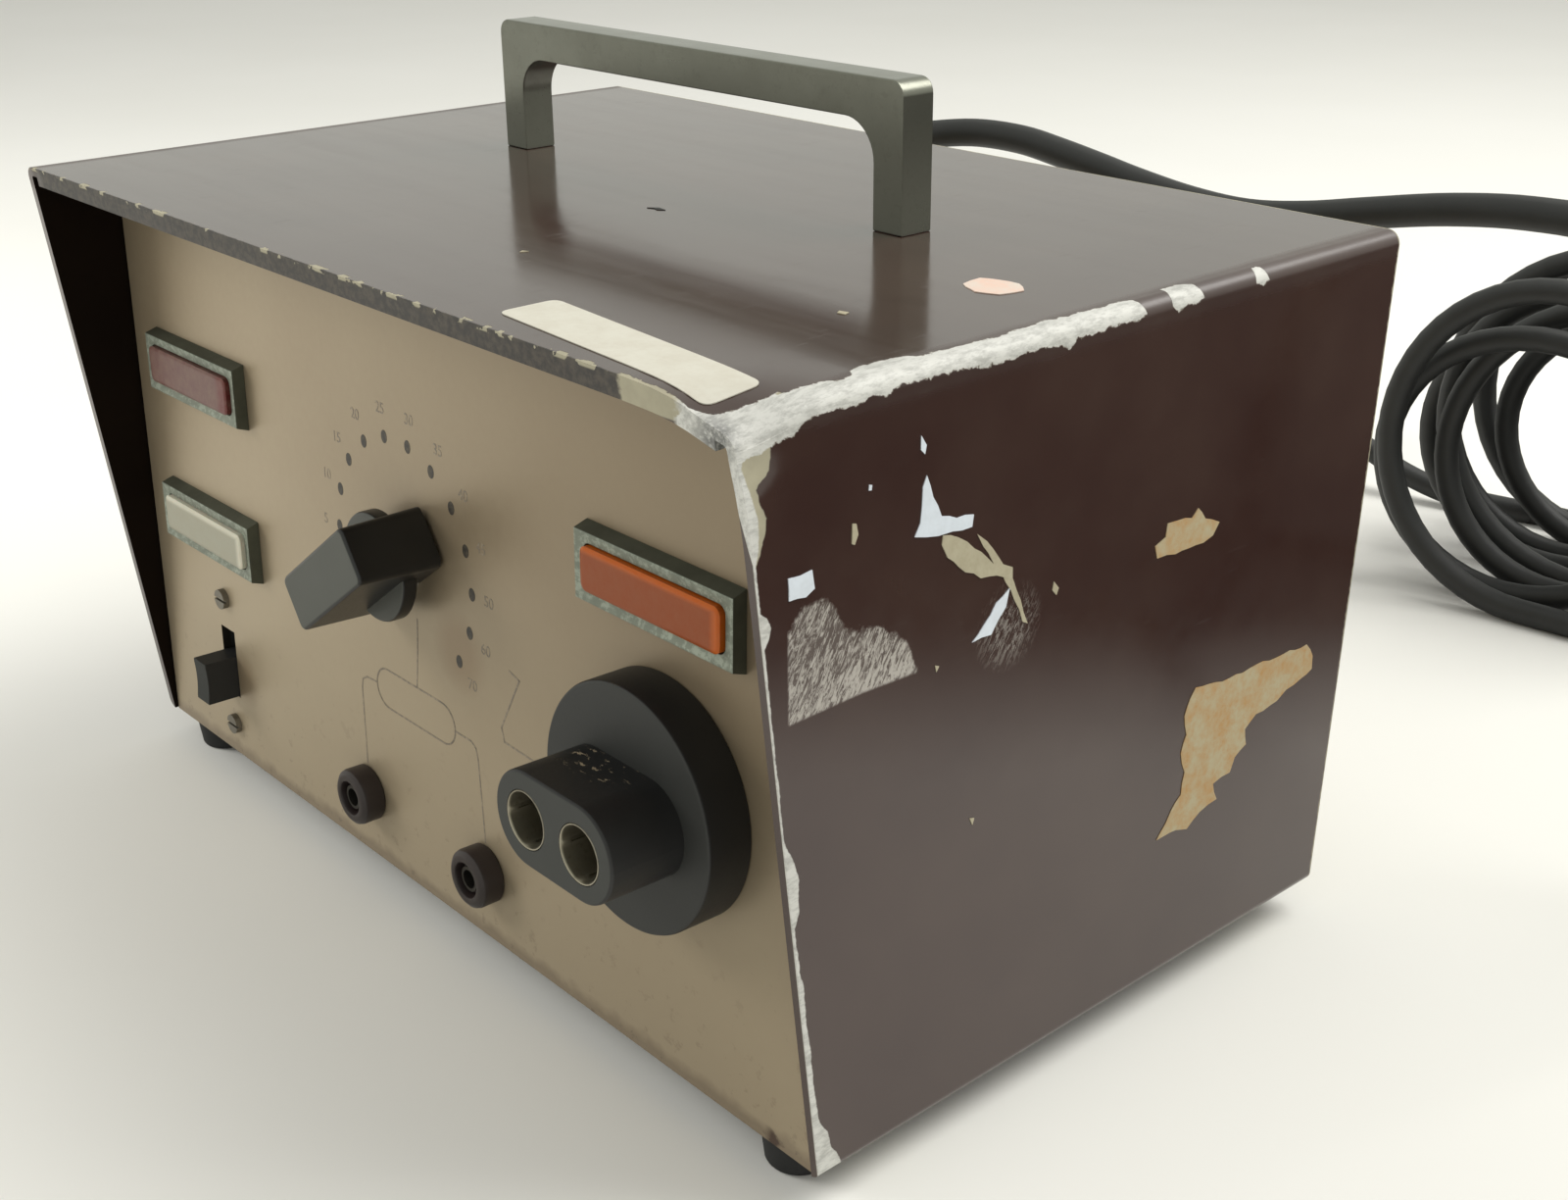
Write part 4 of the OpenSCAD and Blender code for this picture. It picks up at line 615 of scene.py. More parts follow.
@dataclass(frozen=True)
class BezelMetal:
    """Cast lamp bezel: a pale front rim, and darker sides and recess."""

    name: str = "bezel_metal"
    rim: Colour = (0.31, 0.345, 0.28)
    side: Colour = (0.062, 0.066, 0.048)

    def material(self) -> bpy.types.Material:
        """Makes the bezel's forward rim pale and leaves its sides and recess dark.

        Returns:
            The bezels' material.
        """
        r = Recipe(self.name)
        _, y, z = r.axes()
        _, ny, _ = r.face()
        out = z * math.sin(PANEL_LEAN) - (y + PANEL_FOOT_Y) * math.cos(PANEL_LEAN)
        spot = r.noise(1.3, 4, 0.7, shift=0.9)
        cloud = r.noise(7, 3, 0.6, shift=0.3)
        pale = (0 - ny).over(0.7, 0.25) * (out + (spot - 0.5) * 0.5).over(2.3, 0.5)
        pale = pale * (0.7 + cloud.over(0.5, 0.4) * 0.3)
        side = r.mix(cloud.over(0.5, 0.4), self.side, tuple(c * 1.5 for c in self.side))
        colour = r.mix(pale * (1.25 - (spot - 0.44).over(0, 0.16) * 0.75).smallest(1), side, self.rim)
        return r.done(Base_Color=colour, Metallic=0.35, Roughness=0.42 + spot * 0.2, Normal=r.bump(spot, 0.03, 0.6))


@dataclass(frozen=True)
class LampGlass:
    """Moulded lens: coloured plastic with painted light and shade along its upper and right edges, and a dusty face."""

    name: str
    colour: Colour
    # Second colour for the upper and right edges: painted light and shade.
    deep: Colour
    middle: Flat
    dusty: float = 0.2
    lit: float = 3.2
    end: float = 17.0
    dust: Colour = (0.36, 0.31, 0.24)

    def material(self) -> bpy.types.Material:
        """Lays a second colour along the lens's upper and right edges, as painted light and shade, and dust over its
        face.

        Returns:
            The lens's material.
        """
        r = Recipe(self.name)
        x, _, z = r.axes()
        # The upper and right edges take the second colour, as painted light and shade.
        upper, right = (z - self.middle[1] - self.lit).over(0, 0.9), (x - self.middle[0] - self.end).over(0, 1.8)
        ribs = r.noise(0.7, 2, 0.5, (1, 1, 12))
        colour = r.mix(upper.largest(right), self.colour, self.deep)
        dust = r.noise(2.6, 4, 0.7, shift=0.5).over(0.52, 0.3)
        colour = r.mix(dust * self.dusty, colour, self.dust)
        r.surface.inputs["IOR"].default_value = 1.33
        r.surface.inputs["Subsurface Weight"].default_value = 0.15
        r.surface.inputs["Subsurface Radius"].default_value = (0.003, 0.0015, 0.001)
        r.surface.inputs["Subsurface Scale"].default_value = 1.0
        return r.done(Base_Color=colour, Roughness=0.3 + dust * 0.12, Normal=r.bump(ribs, 0.02, 0.3))


@dataclass(frozen=True)
class Paper:
    """Paper or tape stuck to the enamel: fibrous, stained and torn at its edges."""

    name: str
    colour: Colour
    stain: Colour
    stained: float = 0.3
    grain: float = 1.2

    def material(self) -> bpy.types.Material:
        """Blots the paper's fibres with its stain.

        Returns:
            The paper's material.
        """
        r = Recipe(self.name)
        fibre = r.noise(self.grain, 4, 0.7)
        blot = r.noise(6, 4, 0.65, shift=0.6)
        colour = r.mix((blot.over(0.5, 0.22) * 0.75 + fibre.over(0.55, 0.2) * 0.5) * self.stained,
                       self.colour, self.stain)
        return r.done(Base_Color=colour, Roughness=0.62 + fibre * 0.2, Normal=r.bump(fibre, 0.05, 0.6))


@dataclass(frozen=True)
class Ink:
    """Screen-printed ink, thin and partly rubbed away."""

    name: str = "panel_ink"
    colour: Colour = (0.02, 0.016, 0.012)
    under: Colour = (0.40, 0.335, 0.24)
    lost: float = 0.2

    def material(self) -> bpy.types.Material:
        """Thins the ink in patches.

        Returns:
            The ink's material.
        """
        r = Recipe(self.name)
        thin = r.noise(1.1, 4, 0.7).over(0.56, 0.25)
        colour = r.mix(thin * self.lost, self.colour, self.under)
        return r.done(Base_Color=colour, Roughness=0.5 + thin * 0.1, Metallic=thin * 0.2)


@dataclass(frozen=True)
class Winding:
    """Lacquered copper wire or tape laid in turns round one axis."""

    name: str
    colour: Colour
    pitch: float = 1.0
    rough: float = 0.4

    def material(self) -> bpy.types.Material:
        """Darkens the grooves between the turns, as painted shade.

        Returns:
            The winding's material.
        """
        r = Recipe(self.name)
        _, _, z = r.axes()
        turns = r.maths("SINE", z * (2 * math.pi / self.pitch) + r.noise(5, 2) * 2) * 0.5 + 0.5
        # Painted shade in the grooves between the turns.
        groove_shade = tuple(c * 0.35 for c in self.colour)
        return r.done(Base_Color=r.mix(turns, groove_shade, self.colour), Roughness=self.rough + turns * 0.1,
                      Normal=r.bump(turns, 0.2, 0.7))


class Finishes:
    """Every material of the object, made once."""

    def __init__(self) -> None:
        """Makes the materials and keeps them by name."""
        makers = [
            Enamel(), PanelMetal(), Ink(),
            Ink("faint_ink", (0.17, 0.14, 0.105), lost=0.75),
            Moulding("pan_paint", (0.33, 0.28, 0.20), 0.5, 0.8, Wear.CLEAN),
            Moulding("foot_rubber", (0.012, 0.012, 0.012), 0.7, 0.5, Wear.CLEAN),
            Moulding("knob_plastic", (0.0065, 0.0065, 0.0065), 0.24, 0.5, Wear.WORN, (0.053, 0.056, 0.045)),
            Moulding("connector_plastic", (0.0065, 0.0062, 0.0062), 0.42, 0.6, Wear.WORN, (0.038, 0.040, 0.036),
                     specks=True),
            Moulding("switch_plastic", (0.008, 0.008, 0.008), 0.5, 0.4, Wear.HANDLED, (0.03, 0.032, 0.028)),
            Moulding("jack_plastic", (0.017, 0.0105, 0.0095), 0.36, 0.5, Wear.HANDLED, (0.03, 0.022, 0.019)),
            Moulding("inner_plastic", (0.02, 0.02, 0.02), 0.5, 0.8, Wear.CLEAN),
            Moulding("cord_rubber", (0.0105, 0.011, 0.0105), 0.46, 0.4, Wear.CLEAN),
            Moulding("board_laminate", (0.06, 0.13, 0.045), 0.4, 1.5, Wear.CLEAN),
            Moulding("capacitor_sleeve", (0.03, 0.06, 0.16), 0.35, 1.0, Wear.CLEAN),
            Moulding("relay_cover", (0.55, 0.50, 0.38), 0.3, 1.0, Wear.CLEAN),
            Metal("fastener_steel", (0.60, 0.60, 0.57), (0.24, 0.22, 0.19), 0.35),
            Metal("handle_aluminium", (0.215, 0.22, 0.185), (0.155, 0.155, 0.125), 0.2, (28, 1, 1), film=0.6),
            BezelMetal(),
            Metal("aged_screw", (0.24, 0.22, 0.185), (0.10, 0.09, 0.07), 0.42),
            Metal("jack_bush", (0.06, 0.055, 0.048), (0.03, 0.026, 0.022), 0.45),
            Metal("contact_metal", (0.40, 0.37, 0.29), (0.16, 0.14, 0.10), 0.3, film=0.6),
            Metal("sink_aluminium", (0.035, 0.035, 0.036), (0.06, 0.06, 0.06), 0.5, (1, 1, 20), metallic=0.6),
            Metal("can_steel", (0.55, 0.54, 0.50), (0.3, 0.28, 0.25), 0.3),
            Metal("core_steel", (0.16, 0.15, 0.14), (0.08, 0.07, 0.06), 0.5, metallic=0.8),
            Metal("bulb_glass", (0.8, 0.76, 0.66), (0.5, 0.45, 0.36), 0.1, metallic=0.2),
            LampGlass("amber_plastic", (0.235, 0.047, 0.004), (0.43, 0.085, 0.001), (81, 95), dusty=0.06),
            LampGlass("red_plastic", (0.115, 0.046, 0.038), (0.10, 0.005, 0.005), (-87, 95), lit=9.0, end=15.0),
            LampGlass("white_plastic", (0.31, 0.30, 0.225), (0.56, 0.54, 0.43), (-87, 58.6), dusty=0.1),
            Winding("coil_wire", (0.42, 0.15, 0.05), 1.2),
            Winding("winding_tape", (0.50, 0.36, 0.12), 3.0, 0.5),
            Paper("label_paper", (0.60, 0.585, 0.50), (0.42, 0.37, 0.28), 0.22),
            Paper("label_scrap", (0.66, 0.72, 0.78), (0.45, 0.48, 0.50), 0.25),
            Paper("glue_scrap", (0.42, 0.385, 0.27), (0.28, 0.24, 0.15), 0.4),
            Paper("torn_tape", (0.40, 0.345, 0.215), (0.40, 0.22, 0.07), 0.75, 1.3),
            Paper("pink_scrap", (0.72, 0.52, 0.42), (0.62, 0.62, 0.55), 0.6),
        ]
        self.made = {maker.name: maker.material() for maker in makers}

    def dress(self, piece: bpy.types.Object, name: str) -> bpy.types.Object:
        """Gives a piece one material on all its slots.

        Args:
            piece: The piece.
            name: The material's name.

        Returns:
            The same piece.
        """
        if not piece.material_slots:
            piece.data.materials.append(None)
        for slot in piece.material_slots:
            slot.material = self.made[name]
        return piece

    def fit(self, piece: bpy.types.Object, finish: str, body: str, slot: str, *nodes: str) -> bpy.types.Object:
        """Dresses a finished piece, lets it ride on a body and stand for CAD nodes.

        Args:
            piece: The piece.
            finish: Its material's name.
            body: The body that it rides on.
            slot: The CAD material's slot; not used.
            nodes: The CAD nodes that it replaces.

        Returns:
            The same piece.
        """
        self.dress(piece, finish)
        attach(piece, body)
        if nodes:
            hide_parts(*nodes)
        return piece


# Modelling


class Bench:
    """The modelling steps that the pieces share, all with Blender's operators. Sizes are millimetres."""

    @staticmethod
    def take(*pieces: bpy.types.Object) -> None:
        """Leaves only these pieces selected, the first one active, in object mode.

        Args:
            pieces: The pieces, or none.
        """
        if bpy.context.mode != "OBJECT":
            bpy.ops.object.mode_set(mode="OBJECT")
        bpy.ops.object.select_all(action="DESELECT")
        for piece in pieces:
            piece.select_set(True)
        bpy.context.view_layer.objects.active = pieces[0] if pieces else None

    @staticmethod
    def show(name: str, data: bpy.types.ID) -> bpy.types.Object:
        """Puts data into the scene as an object.

        Args:
            name: The object's name.
            data: A curve, text, lamp or camera.

        Returns:
            The object.
        """
        made = bpy.data.objects.new(name, data)
        bpy.context.scene.collection.objects.link(made)
        return made

    @staticmethod
    def apply(piece: bpy.types.Object, place: Matrix | None = None) -> bpy.types.Object:
        """Moves a piece and writes its place into its mesh.

        Args:
            piece: The piece.
            place: The matrix that moves it, if it moves.

        Returns:
            The same piece.
        """
        if place is not None:
            piece.matrix_world = place @ piece.matrix_world
        Bench.take(piece)
        bpy.ops.object.transform_apply(location=True, rotation=True, scale=True)
        return piece

    @staticmethod
    def block(name: str, size: Point, middle: Point) -> bpy.types.Object:
        """Makes a block.

        Args:
            name: The block's name.
            size: Its length along each axis.
            middle: Its middle.

        Returns:
            The block.
        """
        Bench.take()
        bpy.ops.mesh.primitive_cube_add(size=1, location=[c * MM for c in middle])
        piece = bpy.context.object
        piece.name = name
        piece.scale = [s * MM for s in size]
        return Bench.apply(piece)

    @staticmethod
    def turned(name: str, profile: Sequence[Flat], sides: int = 64, hollow: bool = False) -> bpy.types.Object:
        """Turns a profile round the z axis, ring by ring.

        Args:
            name: The piece's name.
            profile: Radius and height of each ring.
            sides: Points on each ring.
            hollow: Whether the last ring comes back to the first, round a hole.

        Returns:
            The turned piece.
        """
        Bench.take()
        radius, height = profile[0]
        bpy.ops.mesh.primitive_circle_add(vertices=sides, radius=radius * MM, location=(0, 0, height * MM),
                                          fill_type="NOTHING" if hollow else "NGON")
        piece = bpy.context.object
        piece.name = name
        Bench.apply(piece)
        bpy.ops.object.mode_set(mode="EDIT")
        bpy.ops.mesh.select_mode(type="VERT")
        bpy.ops.mesh.select_all(action="SELECT")
        for wide, high in profile[1:]:
            bpy.ops.mesh.extrude_region_move(TRANSFORM_OT_translate={"value": (0, 0, (high - height) * MM)})
            bpy.ops.transform.resize(value=(wide / radius, wide / radius, 1), center_override=(0, 0, high * MM))
            radius, height = wide, high
        bpy.ops.mesh.select_all(action="SELECT")
        if hollow:
            bpy.ops.mesh.remove_doubles(threshold=1e-6)
        bpy.ops.mesh.normals_make_consistent(inside=False)
        bpy.ops.object.mode_set(mode="OBJECT")
        return piece

    @staticmethod
    def pick(piece: bpy.types.Object, kind: str, test: Test) -> None:
        """Enters edit mode with only the matching faces or edges selected.

        Args:
            piece: The piece to work on.
            kind: FACE or EDGE.
            test: Takes a face's middle and normal, or an edge's middle and direction, in millimetres.
        """
        Bench.take(piece)
        bpy.ops.object.mode_set(mode="EDIT")
        bpy.ops.mesh.select_mode(type=kind)
        bpy.ops.mesh.select_all(action="DESELECT")
        bpy.ops.object.mode_set(mode="OBJECT")
        mesh = piece.data
        if kind == "FACE":
            for polygon in mesh.polygons:
                polygon.select = test(polygon.center * 1000, polygon.normal)
        else:
            for edge in mesh.edges:
                a, b = (mesh.vertices[i].co for i in edge.vertices)
                edge.select = test((a + b) * 500, (b - a).normalized())
        bpy.ops.object.mode_set(mode="EDIT")

    @staticmethod
    def bevel(piece: bpy.types.Object, width: float, segments: int, test: Test) -> None:
        """Rounds the edges that match a test.

        Args:
            piece: The piece.
            width: The rounding's width.
            segments: Faces across the rounding.
            test: Takes an edge's middle and direction.
        """
        Bench.pick(piece, "EDGE", test)
        bpy.ops.mesh.bevel(offset=width * MM, segments=segments, profile=0.5, affect="EDGES")
        bpy.ops.object.mode_set(mode="OBJECT")

    @staticmethod
    def cut(piece: bpy.types.Object, tool: bpy.types.Object) -> bpy.types.Object:
        """Cuts a tool's shape out of a piece and removes the tool.

        Args:
            piece: The piece.
            tool: What is cut out of it.

        Returns:
            The same piece.
        """
        Bench.take(piece)
        change = piece.modifiers.new("cut", "BOOLEAN")
        change.operation, change.solver, change.object = "DIFFERENCE", "EXACT", tool
        bpy.ops.object.modifier_apply(modifier=change.name)
        bpy.data.objects.remove(tool)
        return piece

    @staticmethod
    def soften(piece: bpy.types.Object, width: float, segments: int = 2, angle: float = 35) -> bpy.types.Object:
        """Rounds every edge sharper than an angle and shades the piece.

        Args:
            piece: The piece.
            width: The rounding's width, or 0 for shading alone.
            segments: Faces across the rounding.
            angle: The angle, in degrees.

        Returns:
            The same piece.
        """
        Bench.take(piece)
        if width:
            change = piece.modifiers.new("soften", "BEVEL")
            change.width, change.segments = width * MM, segments
            change.limit_method, change.angle_limit = "ANGLE", math.radians(angle)
            bpy.ops.object.modifier_apply(modifier=change.name)
        bpy.ops.object.shade_smooth_by_angle(angle=math.radians(32))
        change = piece.modifiers.new("even", "WEIGHTED_NORMAL")
        change.keep_sharp = True
        bpy.ops.object.modifier_apply(modifier=change.name)
        return piece

    @staticmethod
    def join(name: str, pieces: Sequence[bpy.types.Object]) -> bpy.types.Object:
        """Joins pieces into the first one.

        Args:
            name: The joined piece's name.
            pieces: The pieces.

        Returns:
            The joined piece.
        """
        Bench.take(*pieces)
        if len(pieces) > 1:
            bpy.ops.object.join()
        pieces[0].name = name
        return pieces[0]

    @staticmethod
    def repeat(piece: bpy.types.Object, places: Sequence[Matrix]) -> list[bpy.types.Object]:
        """Copies a piece, each copy with its own mesh, and removes the first.

        Args:
            piece: The piece, about its own origin.
            places: Where the copies go.

        Returns:
            The copies.
        """
        copies = []
        for place in places:
            copy = piece.copy()
            copy.data = piece.data.copy()
            bpy.context.scene.collection.objects.link(copy)
            copies.append(Bench.apply(copy, place))
        bpy.data.objects.remove(piece)
        return copies

    @staticmethod
    def outline(name: str, points: Sequence[Flat], thick: float) -> bpy.types.Object:
        """Cuts a flat piece along an outline.

        Args:
            name: The piece's name.
            points: The outline's corners.
            thick: The piece's thickness, half of it on each side of z = 0.

        Returns:
            The flat piece.
        """
        curve = bpy.data.curves.new(name, "CURVE")
        curve.dimensions, curve.fill_mode, curve.extrude = "2D", "BOTH", thick / 2 * MM
        spline = curve.splines.new("POLY")
        spline.use_cyclic_u = True
        spline.points.add(len(points) - 1)
        for point, (x, y) in zip(spline.points, points):
            point.co = (x * MM, y * MM, 0, 1)
        Bench.take(Bench.show(name, curve))
        bpy.ops.object.convert(target="MESH")
        return bpy.context.object

    @staticmethod
    def stroke(name: str, points: Sequence[Flat], width: float) -> bpy.types.Object:
        """Lays overlapping flat bars along a line on z = 0, as thin as print.

        Args:
            name: The piece's name.
            points: The line's points.
            width: The line's width.

        Returns:
            The bars as one piece.
        """
        bars = []
        for a, b in zip(points, points[1:]):
            length, turn = math.dist(a, b), math.atan2(b[1] - a[1], b[0] - a[0])
            bar = Bench.block(name, (length + width * 0.8, width, 0.03), (0, 0, 0))
            middle = Matrix.Translation(((a[0] + b[0]) / 2 * MM, (a[1] + b[1]) / 2 * MM, 0))
            bars.append(Bench.apply(bar, middle @ Matrix.Rotation(turn, 4, "Z")))
        return Bench.join(name, bars)


# Sub-assemblies


@dataclass
class Studio:
    """Camera at the photograph's place, pale floor, soft lights and a pale background."""

    eye: Point = (317.6, -242.4, 230.3)
    target: Point = (87.8, -39.25, 96.82)
    roll: float = -0.48
    lens: float = 44.65
    background: Colour = (0.83, 0.845, 0.775)
    soft: Colour = (1, 0.99, 0.955)
    soft_strength: float = 0.56
    lamp_colour: Colour = (1, 0.985, 0.955)
    aim: Point = (0.05, 0, 0.06)
    lamps: tuple[tuple[str, Point, float, float, bool], ...] = (
        ("key", (0.55, 0.75, 1.25), 1.1, 20, True), ("fill", (-0.85, -0.62, 0.5), 0.4, 6.0, False))
    pale: tuple[Colour, Colour] = ((0.835, 0.835, 0.785), (0.875, 0.875, 0.83))
    beyond: Colour = (0.035, 0.03, 0.027)
    far_edge: float = 256

    def camera(self) -> None:
        """Places the camera."""
        data = bpy.data.cameras.new("camera")
        data.sensor_width, data.lens = 36, self.lens
        data.clip_start, data.clip_end = 0.01, 50
        camera = Bench.show("camera", data)
        ahead = (Vector(self.target) - Vector(self.eye)).normalized()
        right = ahead.cross(Vector((0, 0, 1))).normalized()
        up = right.cross(ahead)
        c, s = math.cos(math.radians(self.roll)), math.sin(math.radians(self.roll))
        axes = Matrix((right * c + up * s, up * c - right * s, -ahead)).transposed()
        camera.matrix_world = Matrix.Translation(Vector(self.eye) * MM) @ axes.to_4x4()
        bpy.context.scene.camera = camera

    def light(self) -> None:
        """Sets the world, the floor and two large soft lamps."""
        scene = bpy.context.scene
        scene.view_settings.view_transform = "Standard"
        world = bpy.data.worlds.new("soft_room")
        scene.world = world
        world.use_nodes = True
        tree = world.node_tree
        tree.nodes.clear()
        out, seen, soft = (tree.nodes.new("ShaderNodeOutputWorld"), tree.nodes.new("ShaderNodeBackground"),
                           tree.nodes.new("ShaderNodeBackground"))
        seen.inputs[0].default_value = (*self.background, 1)
        soft.inputs[0].default_value, soft.inputs[1].default_value = (*self.soft, 1), self.soft_strength
        path, blend = tree.nodes.new("ShaderNodeLightPath"), tree.nodes.new("ShaderNodeMixShader")
        total = path.outputs["Is Camera Ray"]
        for other in ("Is Glossy Ray", "Is Transmission Ray"):
            add = tree.nodes.new("ShaderNodeMath")
            add.operation = "MAXIMUM"
            tree.links.new(total, add.inputs[0])
            tree.links.new(path.outputs[other], add.inputs[1])
            total = add.outputs[0]
        tree.links.new(total, blend.inputs[0])
        tree.links.new(soft.outputs[0], blend.inputs[1])
        tree.links.new(seen.outputs[0], blend.inputs[2])
        tree.links.new(blend.outputs[0], out.inputs[0])
        for row in self.lamps:
            self._lamp(*row)
        self._floor()

    def _lamp(self, name: str, place: Point, size: float, power: float, mirrored: bool) -> None:
        """Adds a square soft lamp that looks at the object.

        Args:
            name: The lamp's name.
            place: Its place, in metres.
            size: Its side, in metres.
            power: Its power, in watts.
            mirrored: Whether glossy faces show it.
        """
        data = bpy.data.lights.new(name, "AREA")
        data.shape, data.size, data.energy = "SQUARE", size, power
        data.color = self.lamp_colour
        lamp = Bench.show(name, data)
        lamp.location, lamp.visible_glossy = place, mirrored
        lamp.rotation_mode = "QUATERNION"
        lamp.rotation_quaternion = (Vector(self.aim) - Vector(place)).to_track_quat("-Z", "Y")

    def _floor(self) -> None:
        """Makes the pale table top, darker in reflections past its far right edge."""
        Bench.take()
        bpy.ops.mesh.primitive_circle_add(vertices=96, radius=6, fill_type="NGON", location=(0, 0, 0))
        floor = bpy.context.object
        floor.name = "floor"
        r = Recipe("table_top")
        x, y, _ = r.axes(Vector((0, 0, 0)))
        path = r.node("ShaderNodeLightPath")
        past = (x * 0.8 + y * 0.6).over(self.far_edge, 80) * Reading(r, path.outputs["Is Glossy Ray"])
        grain = r.noise(260, 3, 0.5)
        pale = r.mix(grain.over(0.5, 0.6), *self.pale)
        r.done(Base_Color=r.mix(past, pale, self.beyond), Roughness=0.75)
        r.surface.inputs["Specular IOR Level"].default_value = 0.25
        floor.data.materials.append(r.material)


@dataclass
class MainsCord:
    """Rubber mains lead: over the rear edge, down, round behind the case and up into a standing coil."""

    diameter: float = 7.2
    exit: Point = (-52, 98.5924, 136)
    route: tuple[Point, ...] = (
        (-50, 115, 136.5), (-43, 126, 138.5), (-31, 132.5, 140), (-16, 134, 140), (-3, 134, 138.5),
        (10, 134, 136.5), (22, 134, 134.5), (38, 134, 132.5), (54, 134, 132), (70, 134, 134),
        (87, 134, 137.5), (105, 134, 141), (123, 134, 143), (140, 134, 142.5), (156, 134, 136),
        (169, 135, 124), (178, 137, 107), (184, 139, 86), (189, 142, 63), (195, 146, 41),
        (205, 152, 22), (219, 160, 9.5), (237, 170, 4.2), (256, 182, 3.6), (270, 198, 3.6),
        (275, 217, 3.6), (268, 238, 3.6), (250, 254, 3.6), (227, 263, 3.6), (200, 266.5, 3.6),
        (169, 265, 3.6), (139, 261.5, 3.6), (111, 257.5, 3.6))
    coil_start: Flat = (76, 252)
    coil_lean: float = 9
    turns: int = 8
    steps: int = 48
    pitch: float = 10
    loop_r: float = 41
    loop_swell: float = 5
    stray: float = -9
    straight: float = 7.2
    tail: tuple[Point, ...] = ((35, 326, 3.6), (15, 322, 4), (-3, 319, 8), (-18, 317.4, 14))
    plug_tip: Point = (-33, 317, 17)
    relief_at: Point = (-52, 70, 129)

    def _turn(self, t: float) -> Vector:
        """Winds the coil, each turn of which touches the table.

        Args:
            t: Turns from the coil's start.

        Returns:
            The cord's middle there.
        """
        lean = math.radians(self.coil_lean)
        across, along = Vector((math.cos(lean), math.sin(lean), 0)), Vector((-math.sin(lean), math.cos(lean), 0))
        high = self.loop_r + self.loop_swell * math.sin(math.radians(150 * t))
        wide = 0.55 * high + 20
        stray = self.stray * math.sin(math.radians(100 * t)) * min(t, 1)
        angle = math.radians(-90 - 360 * t)
        return (Vector((*self.coil_start, 3.6)) + across * (stray + wide * math.cos(angle))
                + along * self.pitch * t + Vector((0, 0, high * (1 + math.sin(angle)))))

    def _smooth(self, points: Sequence[Vector], steps: int) -> list[Vector]:
        """Draws a smooth curve through points and keeps it over the table.

        Args:
            points: The points.
            steps: Steps from each point to the next.

        Returns:
            The curve's points.
        """
        made = []
        for i in range(len(points) - 1):
            a, b = points[max(i - 1, 0)], points[i]
            c, d = points[i + 1], points[min(i + 2, len(points) - 1)]
            for k in range(steps):
                t = k / steps
                p = 0.5 * (2 * b + (c - a) * t + (2 * a - 5 * b + 4 * c - d) * t * t
                           + (3 * b - a - 3 * c + d) * t ** 3)
                p.z = max(p.z, self.diameter / 2)
                made.append(p)
        return made + [points[-1]]

    def line(self) -> list[Vector]:
        """Draws the cord's middle line from the strain relief to the plug.

        Returns:
            The line's points.
        """
        body = [self._turn(i / self.steps) for i in range(self.turns * self.steps + 1)]
        coarse = self.steps // 24
        into, out = body[coarse] - body[0], body[-1] - body[-1 - coarse]
        into.z = out.z = 0
        into.normalize()
        out.normalize()
        first, last = body[0] - into * self.straight, body[-1] + out * self.straight
        tip = Vector(self.exit)
        lead = [tip, tip + Vector((0, 6, 0)), *map(Vector, self.route), first - into * 9, first]
        end = Vector(self.plug_tip)
        tail = [last, last + out * 9, *map(Vector, self.tail), end + Vector((6, 0, 0)), end]
        return self._smooth(lead, 5) + body + self._smooth(tail, 5)

    def build(self, finishes: Finishes) -> tuple[bpy.types.Object, float]:
        """Makes the cord as one open curve.

        Args:
            finishes: The object's materials.

        Returns:
            The cord and its length in metres.
        """
        points = self.line()
        curve = bpy.data.curves.new("mains_cord", "CURVE")
        curve.dimensions, curve.bevel_depth = "3D", self.diameter / 2 * MM
        curve.bevel_resolution, curve.use_fill_caps = 4, True
        spline = curve.splines.new("POLY")
        spline.points.add(len(points) - 1)
        for knot, point in zip(spline.points, points):
            knot.co = (*(point * MM), 1)
        spline.use_smooth = True
        cord = Bench.show("mains_cord", curve)
        finishes.fit(cord, "cord_rubber", "case", "cord_rubber", "cord_lead", "cord_coil", "cord_tail")
        return cord, sum((b - a).length for a, b in zip(points, points[1:])) * MM

    def plug(self, finishes: Finishes) -> bpy.types.Object:
        """Makes the plug's moulded body, with finger grooves and a ribbed neck.

        Args:
            finishes: The object's materials.

        Returns:
            The plug's body.
        """
        neck = [(0.4, 0), (4.6, 0), (5.2, 0.8)]
        for i in range(4):
            z = 2.2 + 3.6 * i
            rib, groove = 5.25 + 0.35 * i, 4.5 + 0.35 * i
            neck += [(rib, z), (rib, z + 1.7), (groove, z + 2.1), (groove, z + 3.2)]
        body = [(7.2, 18), (15.5, 30), (17, 32), (17, 37), (15.9, 38.2), (15.9, 43), (17, 44.2), (17, 52.5),
                (16.6, 53.6), (15.5, 54), (0.4, 54)]
        piece = Bench.turned("plug_body", neck + body, 48)
        place = Matrix.Translation(Vector(self.plug_tip) * MM) @ Matrix.Rotation(-math.pi / 2, 4, "Y")
        Bench.soften(Bench.apply(piece, place), 0)
        return finishes.fit(piece, "cord_rubber", "case", "cord_rubber", "plug")

